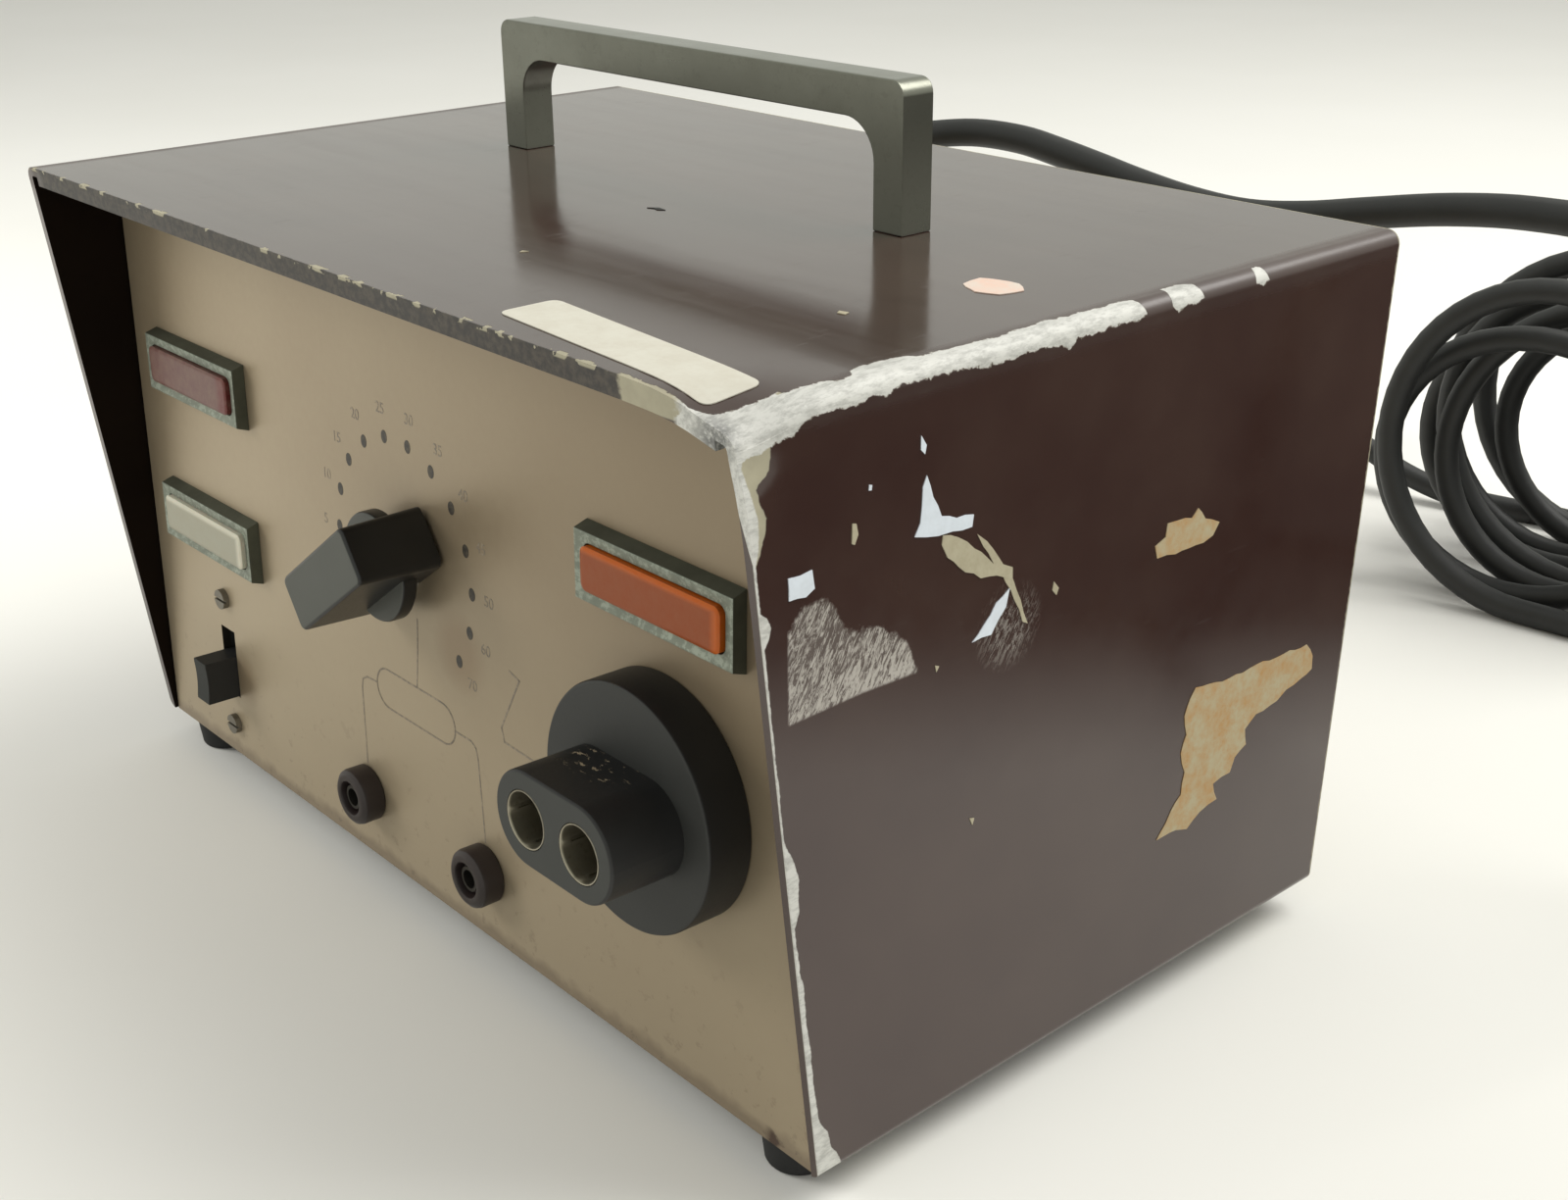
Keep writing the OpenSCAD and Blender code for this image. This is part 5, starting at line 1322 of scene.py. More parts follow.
    def relief(self, finishes: Finishes) -> bpy.types.Object:
        """Makes the ribbed, tapered strain relief.

        Args:
            finishes: The object's materials.

        Returns:
            The strain relief.
        """
        rings = [(0.4, -3.5), (6, -3.5), (6, -1.5), (5.6, -1.5), (5.6, 0), (6.8, 0), (7, 0.3), (7, 2.3), (6.2, 3)]
        for i in range(5):
            r, z = 6 - 0.28 * i, 3 + 4.4 * i
            rings += [(r - 0.1, z + 0.3), (r, z + 0.7), (r - 0.1, z + 2.3), (r - 0.55, z + 2.7), (r - 0.6, z + 4.0)]
        rings += [(4.6, 25), (0.4, 25)]
        piece = Bench.turned("cord_relief", rings, 48)
        place = case_place(*self.relief_at) @ Matrix.Rotation(-math.pi / 2, 4, "X")
        Bench.soften(Bench.apply(piece, place), 0)
        return finishes.fit(piece, "cord_rubber", "case", "cord_rubber", "strain_relief")


@dataclass(frozen=True)
class Dent:
    """The blow that pushed in the cover's right front top corner."""

    knock: Point = (-3.0, 1.6, -4.2)
    reach: float = 12.5
    corner: Point = (COVER_W / 2, CASE_ORIGIN.y / MM - COVER_D / 2, CASE_ORIGIN.z / MM + COVER_H)

    def press(self, piece: bpy.types.Object) -> None:
        """Moves the points of a piece near the corner as the blow did.

        Args:
            piece: A piece that lies in its place in the row frame.
        """
        for point in piece.data.vertices:
            away = (point.co * 1000 - Vector(self.corner)).length / self.reach
            point.co += Vector(self.knock) * MM * math.exp(-away * away * 1.15)


@dataclass
class CoverShell:
    """The folded cover, taken from its solid and knocked in at the right front top corner."""

    dent: Dent = Dent()
    cuts: tuple[float, ...] = (1.2, 2.6, 4.2, 6.2, 8.6, 11.5, 15, 20, 27)

    def build(self, finishes: Finishes) -> list[bpy.types.Object]:
        """Copies the solid's mesh, cuts it finer round the corner, pushes the corner in and dresses it.

        Args:
            finishes: The object's materials.

        Returns:
            The cover, in a list.
        """
        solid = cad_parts["cover"]
        shell = solid.copy()
        shell.data = solid.data.copy()
        for key in list(shell.keys()):
            if key.startswith("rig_"):
                del shell[key]
        shell.parent = None
        shell.name = "cover_shell"
        bpy.context.scene.collection.objects.link(shell)
        Bench.take(shell)
        bpy.ops.object.mode_set(mode="EDIT")
        bpy.ops.mesh.select_all(action="SELECT")
        bpy.ops.mesh.remove_doubles(threshold=1e-6)
        bpy.ops.mesh.dissolve_limited(angle_limit=math.radians(1))
        corner = Vector(self.dent.corner)
        for axis, sign in ((0, -1), (1, 1), (2, -1)):
            for step in self.cuts:
                spot = corner.copy()
                spot[axis] += sign * step
                across = Vector((0, 0, 0))
                across[axis] = 1
                bpy.ops.mesh.select_all(action="SELECT")
                bpy.ops.mesh.bisect(plane_co=spot * MM, plane_no=across)
        bpy.ops.object.mode_set(mode="OBJECT")
        self.dent.press(shell)
        Bench.soften(shell, 0.22, 2, 30)
        return [finishes.fit(shell, "worn_enamel", "case", "cover_paint", "cover")]


@dataclass
class Scraps:
    """What is left of labels and tape on the enamel: thin torn pieces on the top and the right cheek."""

    label: tuple[Flat, ...] = ((54.8, -75.5), (54.8, -63.8), (113.1, -68.6), (113.2, -79.7))
    dent: Dent = Dent()
    label_cuts: tuple[tuple[float, ...], ...] = ((84, 88, 91, 94, 97, 100, 103, 106, 109, 111),
                                                 (-78, -76, -74, -72, -70))
    side_scraps: tuple[tuple[str, tuple[Flat, ...]], ...] = (
        ("label_scrap", ((-46.2, 129.1), (-45.0, 127.3), (-45.3, 125.9), (-46.2, 126.8))),
        ("label_scrap", ((-44.8, 122.4), (-43.3, 118.5), (-41.3, 114.8), (-37.8, 113.6), (-34.0, 113.2), (-34.3, 111.2),
                         (-38.8, 111.6), (-42.0, 111.7), (-47.2, 112.9), (-46.0, 114.9), (-45.7, 117.6),
                         (-45.6, 120.7))),
        ("glue_scrap", ((-40.9, 111.5), (-37.3, 110.2), (-33.7, 107.4), (-29.1, 103.5), (-24.3, 101.5), (-24.2, 99.3),
                        (-28.1, 101.1), (-31.9, 101.7), (-37.1, 105.1), (-39.7, 107.4), (-41.1, 110.0))),
        ("glue_scrap", ((-33.0, 109.6), (-30.7, 107.8), (-27.6, 104.0), (-24.0, 99.2), (-21.9, 94.9), (-19.9, 90.1),
                        (-21.2, 90.8), (-23.5, 95.4), (-25.8, 99.2), (-29.1, 103.7), (-31.5, 107.1))),
        ("label_scrap", ((-24.8, 97.9), (-25.5, 94.8), (-28.9, 90.8), (-33.4, 90.8), (-30.8, 93.0), (-27.9, 96.2))),
        ("label_scrap", ((-73.2, 113.4), (-68.5, 113.5), (-68.0, 110.4), (-69.8, 109.5), (-73.1, 109.8))),
        ("torn_tape", ((27.4, 60.1), (28.9, 62.0), (33.0, 61.4), (39.6, 60.5), (48.0, 60.6), (57.3, 60.0), (65.0, 59.6),
                       (67.5, 56.4), (67.7, 53.4), (64.3, 52.4), (59.3, 51.5), (56.4, 50.0), (49.6, 49.4), (46.3, 47.2),
                       (47.1, 43.6), (43.7, 41.9), (42.5, 39.0), (37.2, 38.4), (38.9, 34.4), (33.6, 33.5), (29.8, 31.2),
                       (24.4, 32.5), (20.4, 32.4), (22.9, 35.1), (24.4, 37.5), (27.0, 39.8), (27.6, 44.5), (25.9, 49.1),
                       (27.2, 52.7), (26.1, 57.0))),
        ("torn_tape", ((14.1, 92.3), (13.3, 94.8), (16.1, 95.8), (16.4, 98.3), (19.6, 98.1), (23.4, 97.5), (25.1, 99.0),
                       (27.4, 96.4), (31.8, 94.6), (30.1, 92.4), (27.4, 91.7), (23.0, 91.8), (19.3, 91.7))),
        ("glue_scrap", ((-60.4, 118.6), (-59.6, 118.4), (-59.2, 116.6), (-59.9, 115.1), (-60.5, 115.4))),
        ("label_scrap", ((-57.0, 123.9), (-56.4, 123.7), (-56.5, 122.9), (-57.1, 123.0))),
        ("glue_scrap", ((-13.7, 95.9), (-12.4, 94.4), (-12.9, 93.2), (-14.0, 94.4))),
        ("glue_scrap", ((-32.5, 57.7), (-31.4, 57.4), (-31.8, 56.2))),
        ("glue_scrap", ((-41.9, 89.4), (-41.0, 89.0), (-41.6, 88.1))),
    )
    top_scraps: tuple[tuple[str, tuple[Flat, ...]], ...] = (
        ("pink_scrap", ((94.1, -7.0), (93.3, -2.0), (96.6, -0.6), (100.7, -0.1), (104.3, -2.9), (103.2, -7.8),
                        (99.1, -9.4))),
        ("cord_rubber", ((8.6, -8.6), (10.4, -6.9), (12.9, -7.3), (11.6, -8.4), (10.3, -8.0))),
        ("glue_scrap", ((22.0, -48.0), (23.2, -47.4), (22.6, -49.0))),
        ("glue_scrap", ((92.4, -34.4), (94.2, -33.9), (94.6, -35.2), (93.1, -35.5))),
    )

    def build(self, finishes: Finishes) -> list[bpy.types.Object]:
        """Makes and dresses the label and the scraps.

        Args:
            finishes: The object's materials.

        Returns:
            The finished pieces.
        """
        label = Bench.outline("blank_label", self._rounded(self.label, 2.2), 0.16)
        bpy.ops.object.mode_set(mode="EDIT")
        for axis, spots in enumerate(self.label_cuts):
            for spot in spots:
                plane = [0.0, 0.0, 0.0]
                plane[axis] = 1.0
                bpy.ops.mesh.select_all(action="SELECT")
                bpy.ops.mesh.bisect(plane_co=[c * spot * MM for c in plane], plane_no=plane)
        bpy.ops.object.mode_set(mode="OBJECT")
        self.dent.press(Bench.apply(label, case_place(0, 0, COVER_H + 0.1)))
        made = [self._dress(label, "label_paper", Matrix(), finishes)]
        side = case_place(COVER_W / 2 + 0.08) @ Matrix(((0, 0, 1, 0), (1, 0, 0, 0), (0, 1, 0, 0), (0, 0, 0, 1)))
        for i, (paper, points) in enumerate(self.side_scraps):
            scrap = Bench.outline(f"side_scrap_{i + 1}", self._torn(points, i), 0.12 + 0.03 * (i % 3))
            made.append(self._dress(scrap, paper, side, finishes))
        for i, (paper, points) in enumerate(self.top_scraps):
            scrap = Bench.outline(f"top_scrap_{i + 1}", self._torn(points, i + 20), 0.14)
            made.append(self._dress(scrap, paper, case_place(0, 0, COVER_H + 0.07), finishes))
        return made

    @staticmethod
    def _rounded(points: Sequence[Flat], radius: float) -> list[Flat]:
        """Rounds off an outline's corners by short arcs.

        Args:
            points: The outline's corners.
            radius: How far from a corner its arc starts.

        Returns:
            The rounded outline.
        """
        made = []
        for i, spot in enumerate(points):
            here, before, after = (Vector(p) for p in (spot, points[i - 1], points[(i + 1) % len(points)]))
            start, end = here + (before - here).normalized() * radius, here + (after - here).normalized() * radius
            for k in range(6):
                t = k / 5
                made.append(tuple(start * (1 - t) ** 2 + here * (2 * t * (1 - t)) + end * t * t))
        return made

    @staticmethod
    def _torn(points: Sequence[Flat], seed: int) -> list[Flat]:
        """Puts small tears between an outline's corners.

        Args:
            points: The outline's corners.
            seed: Sets this outline's tears.

        Returns:
            The torn outline.
        """
        made = []
        for i, (a, b) in enumerate(zip(points, [*points[1:], points[0]])):
            length = math.dist(a, b)
            count = max(1, min(6, round(length / 2.2)))
            for k in range(count):
                t = k / count
                off = 0 if k == 0 else 0.32 * math.sin(7.3 * (seed + 1) + 12.9 * i + 4.7 * k) * min(1, length / 6)
                made.append((a[0] + (b[0] - a[0]) * t - (b[1] - a[1]) / length * off,
                             a[1] + (b[1] - a[1]) * t + (b[0] - a[0]) / length * off))
        return made

    @staticmethod
    def _dress(piece: bpy.types.Object, paper: str, place: Matrix, finishes: Finishes) -> bpy.types.Object:
        """Puts a scrap in its place, dresses it and lets it ride on the case.

        Args:
            piece: The scrap.
            paper: Its material's name.
            place: The matrix that puts it in its place.
            finishes: The object's materials.

        Returns:
            The same scrap.
        """
        Bench.apply(piece, place)
        Bench.soften(piece, 0)
        return finishes.fit(piece, paper, "case", "cover_paint")


@dataclass
class PanelPrint:
    """The dial's dots and plain numbers, and the two printed leads to the jacks."""

    centre: Flat = (-3.3, 76)
    dot_radius: float = 24.9
    number_radius: float = 30.6
    numbers: tuple[int, ...] = (5, 10, 15, 20, 25, 30, 35, 40, 45, 50, 60, 70)
    first: float = 180
    step: float = 20
    frame_ends: tuple[Flat, Flat] = ((8.3, 43.8), (-12.7, 43.8))
    frame_r: float = 4.5
    dot: Flat = (1.25, 0.02)
    number_size: float = 3.3
    line: float = 0.42

    def _spot(self, radius: float, i: int) -> Matrix:
        """Finds a place round the dial.

        Args:
            radius: Distance from the dial's centre.
            i: The mark's number, from 0.

        Returns:
            The shift to that mark.
        """
        turn = math.radians(self.first - self.step * i)
        across, up = self.centre[0] + radius * math.cos(turn), self.centre[1] + radius * math.sin(turn)
        return Matrix.Translation((across * MM, up * MM, 0))

    def build(self, finishes: Finishes) -> list[bpy.types.Object]:
        """Prints the panel."""
        return [self._dots(finishes), self._numbers(finishes), self._leads(finishes)]

    def _finish(self, name: str, parts: list[bpy.types.Object], ink: str, finishes: Finishes) -> bpy.types.Object:
        """Joins printed parts, lays them on the panel and dresses them.

        Args:
            name: The piece's name.
            parts: The printed parts.
            ink: Their ink's name.
            finishes: The object's materials.

        Returns:
            The parts as one piece.
        """
        piece = Bench.apply(Bench.join(name, parts), panel_place(0, 0) @ Matrix.Translation((0, 0, 0.02 * MM)))
        Bench.soften(piece, 0)
        return finishes.fit(piece, ink, "case", "panel_paint")

    def _dots(self, finishes: Finishes) -> bpy.types.Object:
        """Prints a dot for each number.

        Args:
            finishes: The object's materials.

        Returns:
            The dots.
        """
        dots = []
        for i in range(len(self.numbers)):
            radius, thick = self.dot
            dot = Bench.turned("dot", [(radius, -thick), (radius, thick)], 20)
            dots.append(Bench.apply(dot, self._spot(self.dot_radius, i) @ Matrix.Diagonal((0.85, 1.1, 1, 1))))
        return self._finish("dial_dots", dots, "panel_ink", finishes)

    def _numbers(self, finishes: Finishes) -> bpy.types.Object:
        """Prints the dial's plain numbers.

        Args:
            finishes: The object's materials.

        Returns:
            The numbers.
        """
        signs = []
        for i, number in enumerate(self.numbers):
            text = bpy.data.curves.new("number", "FONT")
            text.body, text.size, text.extrude = str(number), self.number_size * MM, 0.015 * MM
            text.align_x, text.align_y = "CENTER", "CENTER"
            Bench.take(Bench.show("number", text))
            bpy.ops.object.convert(target="MESH")
            signs.append(Bench.apply(bpy.context.object, self._spot(self.number_radius, i)))
        return self._finish("dial_numbers", signs, "faint_ink", finishes)

    def _leads(self, finishes: Finishes) -> bpy.types.Object:
        """Prints the stem, the rounded frame and the leads from it to the two jacks.

        Args:
            finishes: The object's materials.

        Returns:
            The lines.
        """
        rounded = []
        for (u, v), start in zip(self.frame_ends, (90, -90)):
            for k in range(17):
                turn = math.radians(start - 180 * k / 16)
                rounded.append((u + self.frame_r * math.cos(turn), v + self.frame_r * math.sin(turn)))
        runs = [
            [(0.7, 64), (0.2, 58), (-1, 48.4)], [*rounded, rounded[0]],
            [(-17.2, 43.9), (-21.4, 43.6), (-23.2, 42.6), (-23.8, 40.5), (-23.9, 22.2)],
            [(12.8, 43.6), (18.6, 43.6), (20.2, 42.6), (20.8, 40.3), (22, 22.2)],
            [(33.4, 64), (36.6, 63.1), (29.8, 50.9), (30.6, 48), (42.8, 47.6)],
        ]
        lines = [Bench.stroke("lead", run, self.line) for run in runs]
        return self._finish("panel_lines", lines, "faint_ink", finishes)


@dataclass
class Dial:
    """Bar knob with a round collar round its hub."""

    length: float = 31
    width: float = 12.8
    front_width: float = 11.7
    reach: float = 18.8
    gap: float = 1
    angle: float = 36
    place: Flat = (LAYOUT_X, 76)
    recess_r: float = 8.1
    collar: tuple[Flat, ...] = (
        (8.2, 3.65), (10.7, 3.6), (11.3, 4.2), (11.3, 6.6), (11.1, 7.0), (10.7, 7.2), (4.0, 7.2))

    def build(self, finishes: Finishes) -> list[bpy.types.Object]:
        """Models the bar, hollows its back and joins it to its collar.

        Args:
            finishes: The object's materials.

        Returns:
            The knob, in a list.
        """
        size = (self.length, self.width, self.reach - self.gap)
        bar = Bench.block("bar", size, (0, 0, (self.reach + self.gap) / 2))
        Bench.pick(bar, "FACE", lambda c, n: n.z > 0.9)
        bpy.ops.transform.resize(value=(1, self.front_width / self.width, 1), center_override=(0, 0, self.reach * MM))
        Bench.bevel(bar, 1.6, 4, lambda c, d: abs(d.z) > 0.9)
        Bench.cut(bar, Bench.turned("recess", [(self.recess_r, -1), (self.recess_r, 4)], 48))
        Bench.bevel(bar, 0.7, 3, lambda c, d: c.z > self.reach - 0.1)
        collar = Bench.turned("collar", self.collar, 72)
        knob = Bench.join("dial_knob", [Bench.soften(bar, 0), Bench.soften(collar, 0)])
        Bench.apply(knob, panel_place(*self.place, self.angle))
        return [finishes.fit(knob, "knob_plastic", "dial", "black_plastic", "knob")]


@dataclass
class Lamp:
    """One pilot lamp: a bevelled bezel with its sleeve, and a pillowed lens."""

    name: str
    place: Flat
    lens_finish: str
    width: float = 42.6
    height: float = 15
    front_height: float = 13
    reach: float = 3
    lens_w: float = 37.5
    lens_h: float = 8.3
    proud: float = 0.8
    sleeve: Point = (40, 10.8, 20)
    sleeve_wall: float = 1.1

    def build(self, finishes: Finishes) -> list[bpy.types.Object]:
        """Makes the bezel and the lens."""
        return [self._bezel(finishes), self._lens(finishes)]

    def _bezel(self, finishes: Finishes) -> bpy.types.Object:
        """Dishes the bezel's front, cuts its rounded opening and adds the sleeve behind it.

        Args:
            finishes: The object's materials.

        Returns:
            The bezel.
        """
        rim = Bench.block("rim", (self.width, self.height, self.reach), (0, 0, self.reach / 2))
        Bench.pick(rim, "FACE", lambda c, n: n.z > 0.9)
        narrow = (1, self.front_height / self.height, 1)
        bpy.ops.transform.resize(value=narrow, center_override=(0, 0, self.reach * MM))
        bpy.ops.mesh.inset(thickness=0.5 * MM)
        bpy.ops.mesh.inset(thickness=0.9 * MM)
        bpy.ops.transform.translate(value=(0, 0, -0.3 * MM))
        bpy.ops.object.mode_set(mode="OBJECT")
        opening = Bench.block("opening", (self.lens_w + 0.5, self.lens_h + 0.4, 6), (0, 0, 3.2))
        Bench.bevel(opening, 1.6, 5, lambda c, d: abs(d.z) > 0.9)
        Bench.cut(rim, opening)
        Bench.soften(rim, 0.2, 2)
        sleeve = Bench.block("sleeve", self.sleeve, (0, 0, -self.sleeve[2] / 2))
        Bench.pick(sleeve, "FACE", lambda c, n: n.z < -0.9)
        bpy.ops.mesh.inset(thickness=self.sleeve_wall * MM)
        bpy.ops.mesh.extrude_region_move(TRANSFORM_OT_translate={"value": (0, 0, (self.sleeve[2] - 4) * MM)})
        bpy.ops.object.mode_set(mode="OBJECT")
        Bench.soften(sleeve, 0.2)
        piece = Bench.apply(Bench.join(f"{self.name}_lamp_bezel", [rim, sleeve]), panel_place(*self.place))
        return finishes.fit(piece, "bezel_metal", "case", "bezel_metal", f"{self.name}_bezel")

    def _lens(self, finishes: Finishes) -> bpy.types.Object:
        """Makes the lens, its front raised in a low pillow.

        Args:
            finishes: The object's materials.

        Returns:
            The lens.
        """
        front = self.reach + self.proud
        lens = Bench.block("lens", (self.lens_w, self.lens_h, 5), (0, 0, front - 2.5 - 0.25))
        Bench.bevel(lens, 1.5, 5, lambda c, d: abs(d.z) > 0.9)
        Bench.pick(lens, "FACE", lambda c, n: n.z > 0.9)
        bpy.ops.mesh.inset(thickness=0.5 * MM)
        bpy.ops.transform.translate(value=(0, 0, 0.2 * MM))
        bpy.ops.mesh.inset(thickness=0.4 * MM)
        bpy.ops.transform.translate(value=(0, 0, 0.05 * MM))
        bpy.ops.object.mode_set(mode="OBJECT")
        Bench.apply(Bench.soften(lens, 0), panel_place(*self.place))
        lens.name = f"{self.name}_lamp_lens"
        slot = f"{self.name}_plastic"
        return finishes.fit(lens, self.lens_finish, "case", slot, f"{self.name}_lens")


@dataclass
class Jacks:
    """Two round jack heads with their sockets."""

    places: tuple[Flat, ...] = ((-23.4, 15.4), (22.2, 15.4))
    profile: tuple[Flat, ...] = (
        (2.75, -10), (4, -10), (4, 0), (6.0, 0), (6.3, 0.4), (6.35, 3.9), (6.1, 4.7), (5.5, 5.2), (4.9, 5.45),
        (4.2, 5.5), (3.9, 5.35), (3.7, 4.9), (3.6, 3.2), (2.75, 3.0), (2.75, -10))

    def build(self, finishes: Finishes) -> list[bpy.types.Object]:
        """Turns one jack and copies it to both places.

        Args:
            finishes: The object's materials.

        Returns:
            Both heads.
        """
        head = Bench.soften(Bench.turned("jack", self.profile, 56, hollow=True), 0)
        made = Bench.repeat(head, [panel_place(*p) for p in self.places])
        for jack, side in zip(made, ("left", "right")):
            jack.name = f"jack_head_{side}"
            finishes.fit(jack, "jack_plastic", "case", "jack_plastic", f"jack_{side}")
        return made


@dataclass
class OutputConnector:
    """Round flange with a two-pole boss and its two plated contacts."""

    place: Flat = (81, 57.5)
    flange_r: float = 23
    flange_t: float = 9.3
    boss: Flat = (33, 18)
    reach: float = 24.3
    pitch: float = 15.2
    hole_r: float = 5.55
    contact: tuple[Flat, ...] = (
        (0.3, -4.7), (1.7, -4.7), (2, -4.4), (2, -0.2), (5.5, -0.2), (5.5, 24.1), (5.35, 24.35), (5.15, 24.3),
        (4.95, 23.9), (4.85, 12), (3.2, 11.6), (3.2, 1.3), (0.3, 1.2))

    def build(self, finishes: Finishes) -> list[bpy.types.Object]:
        """Makes the body and the contacts.

        Args:
            finishes: The object's materials.

        Returns:
            The finished pieces.
        """
        spot = panel_place(*self.place)
        r, t = self.flange_r, self.flange_t
        flange = Bench.turned("flange", [(16, -16), (16, 0), (r - 0.3, 0), (r, 0.3), (r, t - 0.7), (r - 0.2, t - 0.25),
                                         (r - 0.7, t)], 112)
        width, height = self.boss
        boss = Bench.block("boss", (width, height, self.reach - 8), (0, 0, (self.reach + 8) / 2))
        Bench.bevel(boss, height / 2 - 0.05, 14, lambda c, d: abs(d.z) > 0.9)
        for part in (flange, boss):
            for offset in self._offsets():
                Bench.cut(part, Bench.apply(Bench.turned("drill", [(self.hole_r, -20), (self.hole_r, 30)], 48), offset))
        Bench.bevel(boss, 0.6, 3, lambda c, d: c.z > self.reach - 0.1 and abs(d.z) < 0.1 and self._outer(c))
        Bench.soften(flange, 0)
        Bench.soften(boss, 0)
        body = Bench.apply(Bench.join("connector_moulding", [flange, boss]), spot)
        finishes.fit(body, "connector_plastic", "case", "black_plastic", "connector_body")
        made = [body]
        contact = Bench.soften(Bench.turned("contact", self.contact, 48), 0)
        for size in ((0.8, 10.2, 10), (10.2, 0.8, 10)):
            Bench.cut(contact, Bench.block("slit", size, (0, 0, 17.2)))
        for piece, side in zip(Bench.repeat(contact, [spot @ offset for offset in self._offsets()]), ("left", "right")):
            piece.name = f"output_contact_{side}"
            made.append(finishes.fit(piece, "contact_metal", "case", "contact_metal", f"contact_{side}"))
        return made

    def _offsets(self) -> list[Matrix]:
        """Returns the shifts from the boss's middle to its left and right contact."""
        return [Matrix.Translation((side * self.pitch / 2 * MM, 0, 0)) for side in (-1, 1)]

    def _outer(self, spot: Vector) -> bool:
        """Returns whether a place is on the boss's outer edge."""
        return min(math.dist(spot.xy, (s * self.pitch / 2, 0)) for s in (-1, 1)) > 6.2


@dataclass
class Handle:
    """Bar handle milled from flat stock."""

    length: float = 130
    depth: float = 8
    height: float = 28.6
    post: float = 7.8
    grip: float = 8
    corner_r: float = 3
    inner_r: float = 8
    middle_y: float = 14
    screw_hole: Flat = (2.05, 12.5)

    def build(self, finishes: Finishes) -> list[bpy.types.Object]:
        """Cuts the opening out of a block with rounded corners.

        Args:
            finishes: The object's materials.

        Returns:
            The handle, in a list.
        """
        bar = Bench.block("bar_handle", (self.length, self.depth, self.height), (0, 0, self.height / 2))
        Bench.bevel(bar, self.corner_r, 6, lambda c, d: abs(d.y) > 0.9 and c.z > self.height - 1)
        hole_h = self.height - self.grip + 10
        hole = Bench.block("opening", (self.length - 2 * self.post, self.depth + 4, hole_h),
                           (0, 0, self.height - self.grip - hole_h / 2))
        Bench.bevel(hole, self.inner_r, 10, lambda c, d: abs(d.y) > 0.9 and c.z > 0)
        Bench.cut(bar, hole)
        Bench.soften(bar, 0.35, 2, 40)
        for side in (-1, 1):
            radius, depth = self.screw_hole
            drill = Bench.turned("drill", [(radius, -1), (radius, depth)], 32)
            place = Matrix.Translation((side * (self.length - self.post) / 2 * MM, 0, 0))
            Bench.cut(bar, Bench.apply(drill, place))
        Bench.apply(Bench.soften(bar, 0), case_place(LAYOUT_X, self.middle_y, COVER_H))
        return [finishes.fit(bar, "handle_aluminium", "case", "handle_aluminium", "handle")]


@dataclass
class SlideSwitch:
    """Thumb piece of the slide switch, with a slightly hollowed front."""

    place: Flat = (-87, 21.6)
    width: float = 6
    height: float = 10.5
    reach: float = 8
    behind: float = 5.5
    dish_r: float = 32
    dish_depth: float = 0.3
    foot: Point = (8.6, 13.5, 2)

    def build(self, finishes: Finishes) -> list[bpy.types.Object]:
        """Models the thumb piece and its foot.

        Args:
            finishes: The object's materials.

        Returns:
            The thumb piece, in a list.
        """
        size = (self.width, self.height, self.reach + self.behind)
        thumb = Bench.block("thumb", size, (0, 0, (self.reach - self.behind) / 2))
        dish = Bench.turned("dish", [(self.dish_r, -5), (self.dish_r, 5)], 160)
        over = Matrix.Translation((0, 0, (self.reach + self.dish_r - self.dish_depth) * MM))
        Bench.cut(thumb, Bench.apply(dish, over @ Matrix.Rotation(math.pi / 2, 4, "Y")))
        Bench.soften(thumb, 0.2, 2, 40)
        foot = Bench.soften(Bench.block("foot", self.foot, (0, 0, 1 - self.behind)), 0.2)
        piece = Bench.apply(Bench.join("switch_thumb", [thumb, foot]), panel_place(*self.place))
        return [finishes.fit(piece, "switch_plastic", "slider", "switch_plastic", "switch_slider")]


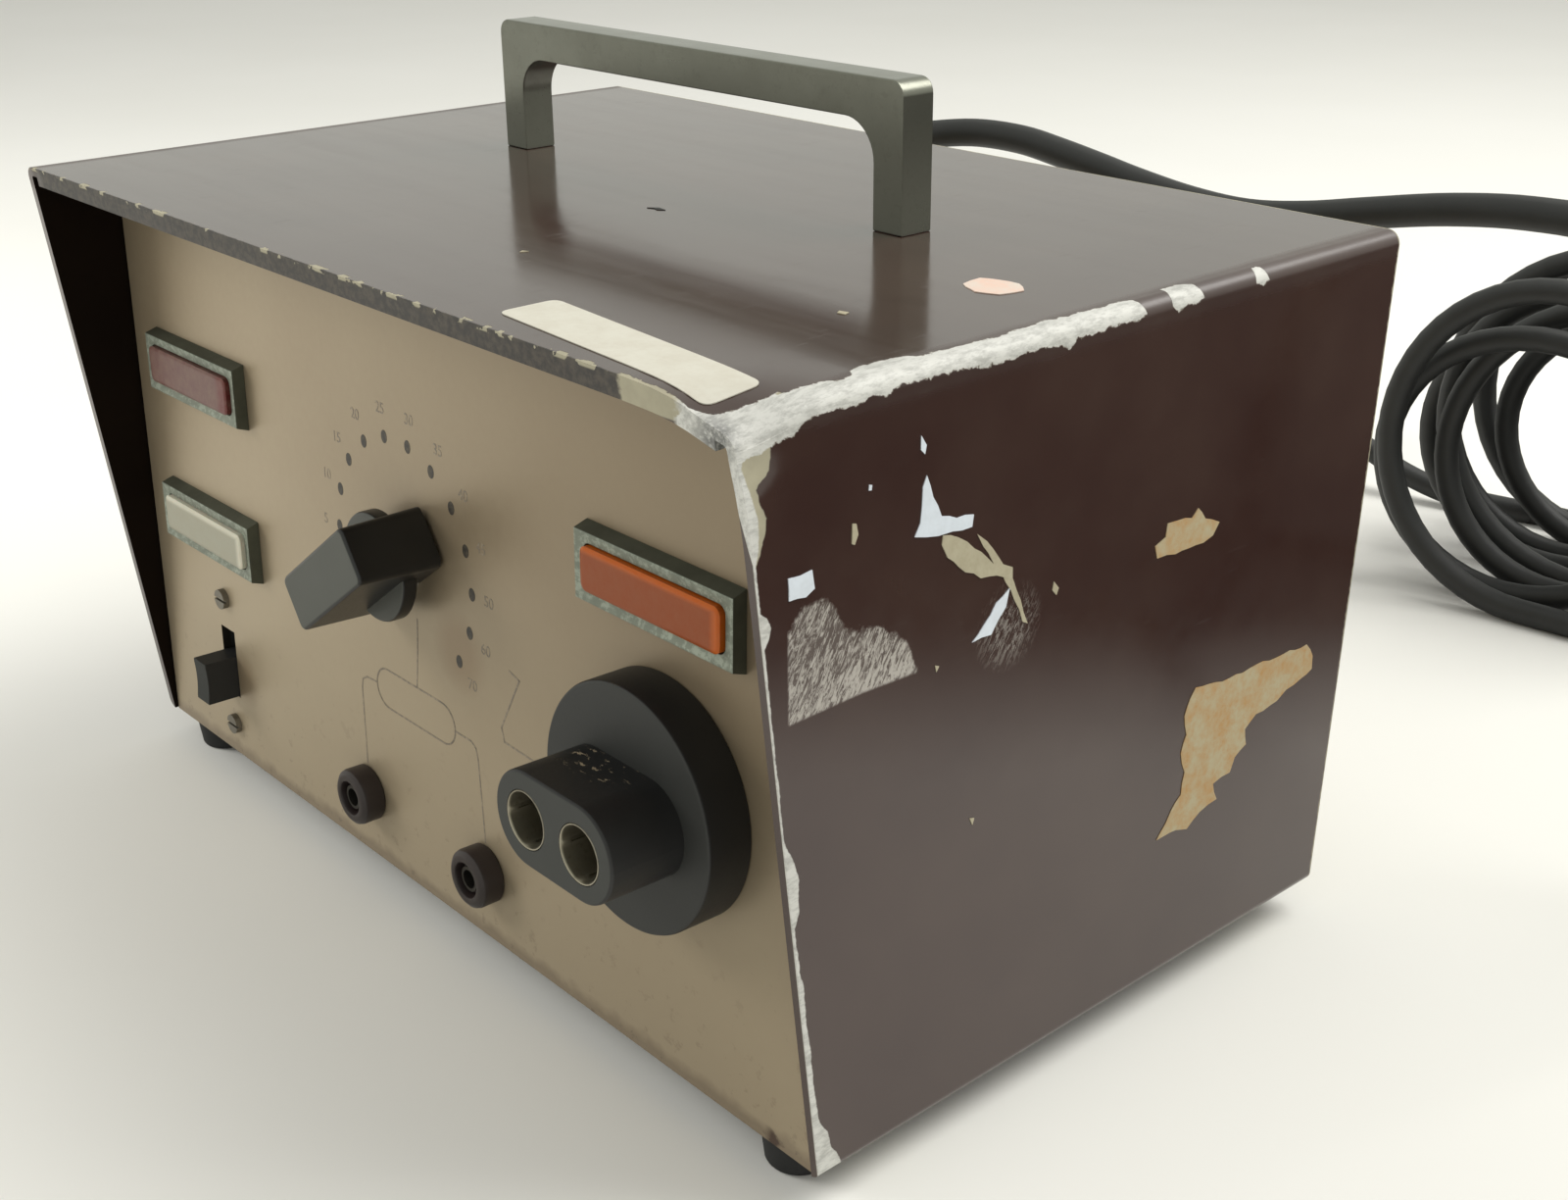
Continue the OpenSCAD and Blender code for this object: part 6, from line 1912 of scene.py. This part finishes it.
@dataclass
class CarriedOver:
    """CAD nodes that keep their own solids and get their finishes here."""

    finish_of: Mapping[str, tuple[str, ...]] = field(default_factory=lambda: {
        "panel_lacquer": ("front_panel",),
        "pan_paint": ("chassis",),
        "foot_rubber": ("foot_front_left", "foot_front_right", "foot_rear_left", "foot_rear_right"),
        "fastener_steel": ("panel_screws", "foot_screws", "foot_nuts", "handle_screws", "handle_washers",
                           "knob_screw", "dial_shaft", "dial_nut", "lamp_clips", "jack_nuts", "connector_nut",
                           "board_standoffs", "board_screws", "transformer_frame",
                           "transformer_screws"),
        "can_steel": ("power_transistor", "dial_pot"),
        "inner_plastic": ("lamp_holders", "switch_body", "fuse_holder", "fuse_cap"),
        "bulb_glass": ("lamp_bulbs", "fuse"),
        "aged_screw": ("switch_fixings",),
        "jack_bush": ("jack_sleeve_left", "jack_sleeve_right"),
        "contact_metal": ("plug_blades",),
        "board_laminate": ("circuit_board",),
        "coil_wire": ("output_coil",),
        "capacitor_sleeve": ("capacitors",),
        "relay_cover": ("relay",),
        "sink_aluminium": ("heat_sink",),
        "core_steel": ("transformer_core",),
        "winding_tape": ("transformer_winding",),
    })

    def build(self, finishes: Finishes) -> list[bpy.types.Object]:
        """Dresses every carried-over node.

        Args:
            finishes: The object's materials.

        Returns:
            The nodes.
        """
        made = []
        for finish, nodes in self.finish_of.items():
            for node in nodes:
                made.append(finishes.dress(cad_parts[node], finish))
        return made


def main() -> None:
    """Builds the scene and reports each piece."""
    logging.basicConfig(level=logging.INFO, format="%(name)s: %(message)s")
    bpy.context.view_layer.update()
    studio = Studio()
    studio.camera()
    finishes = Finishes()
    mains = MainsCord()
    cord, length = mains.build(finishes)
    plug, relief = mains.plug(finishes), mains.relief(finishes)
    LOG.info("mains cord, %.3f m", length)
    lamps = [Lamp("amber", (81, 95), "amber_plastic"), Lamp("red", (-87, 95), "red_plastic"),
             Lamp("white", (-87, 58.6), "white_plastic")]
    assemblies = [CoverShell(), Scraps(), PanelPrint(), Dial(), *lamps, Jacks(), OutputConnector(), Handle(),
                  SlideSwitch(), CarriedOver()]
    for assembly in assemblies:
        for piece in assembly.build(finishes):
            LOG.info("%s, %d faces", piece.name, len(piece.data.polygons))
    studio.light()
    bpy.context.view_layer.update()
    Bench.take()


if __name__ == "__main__":
    main()
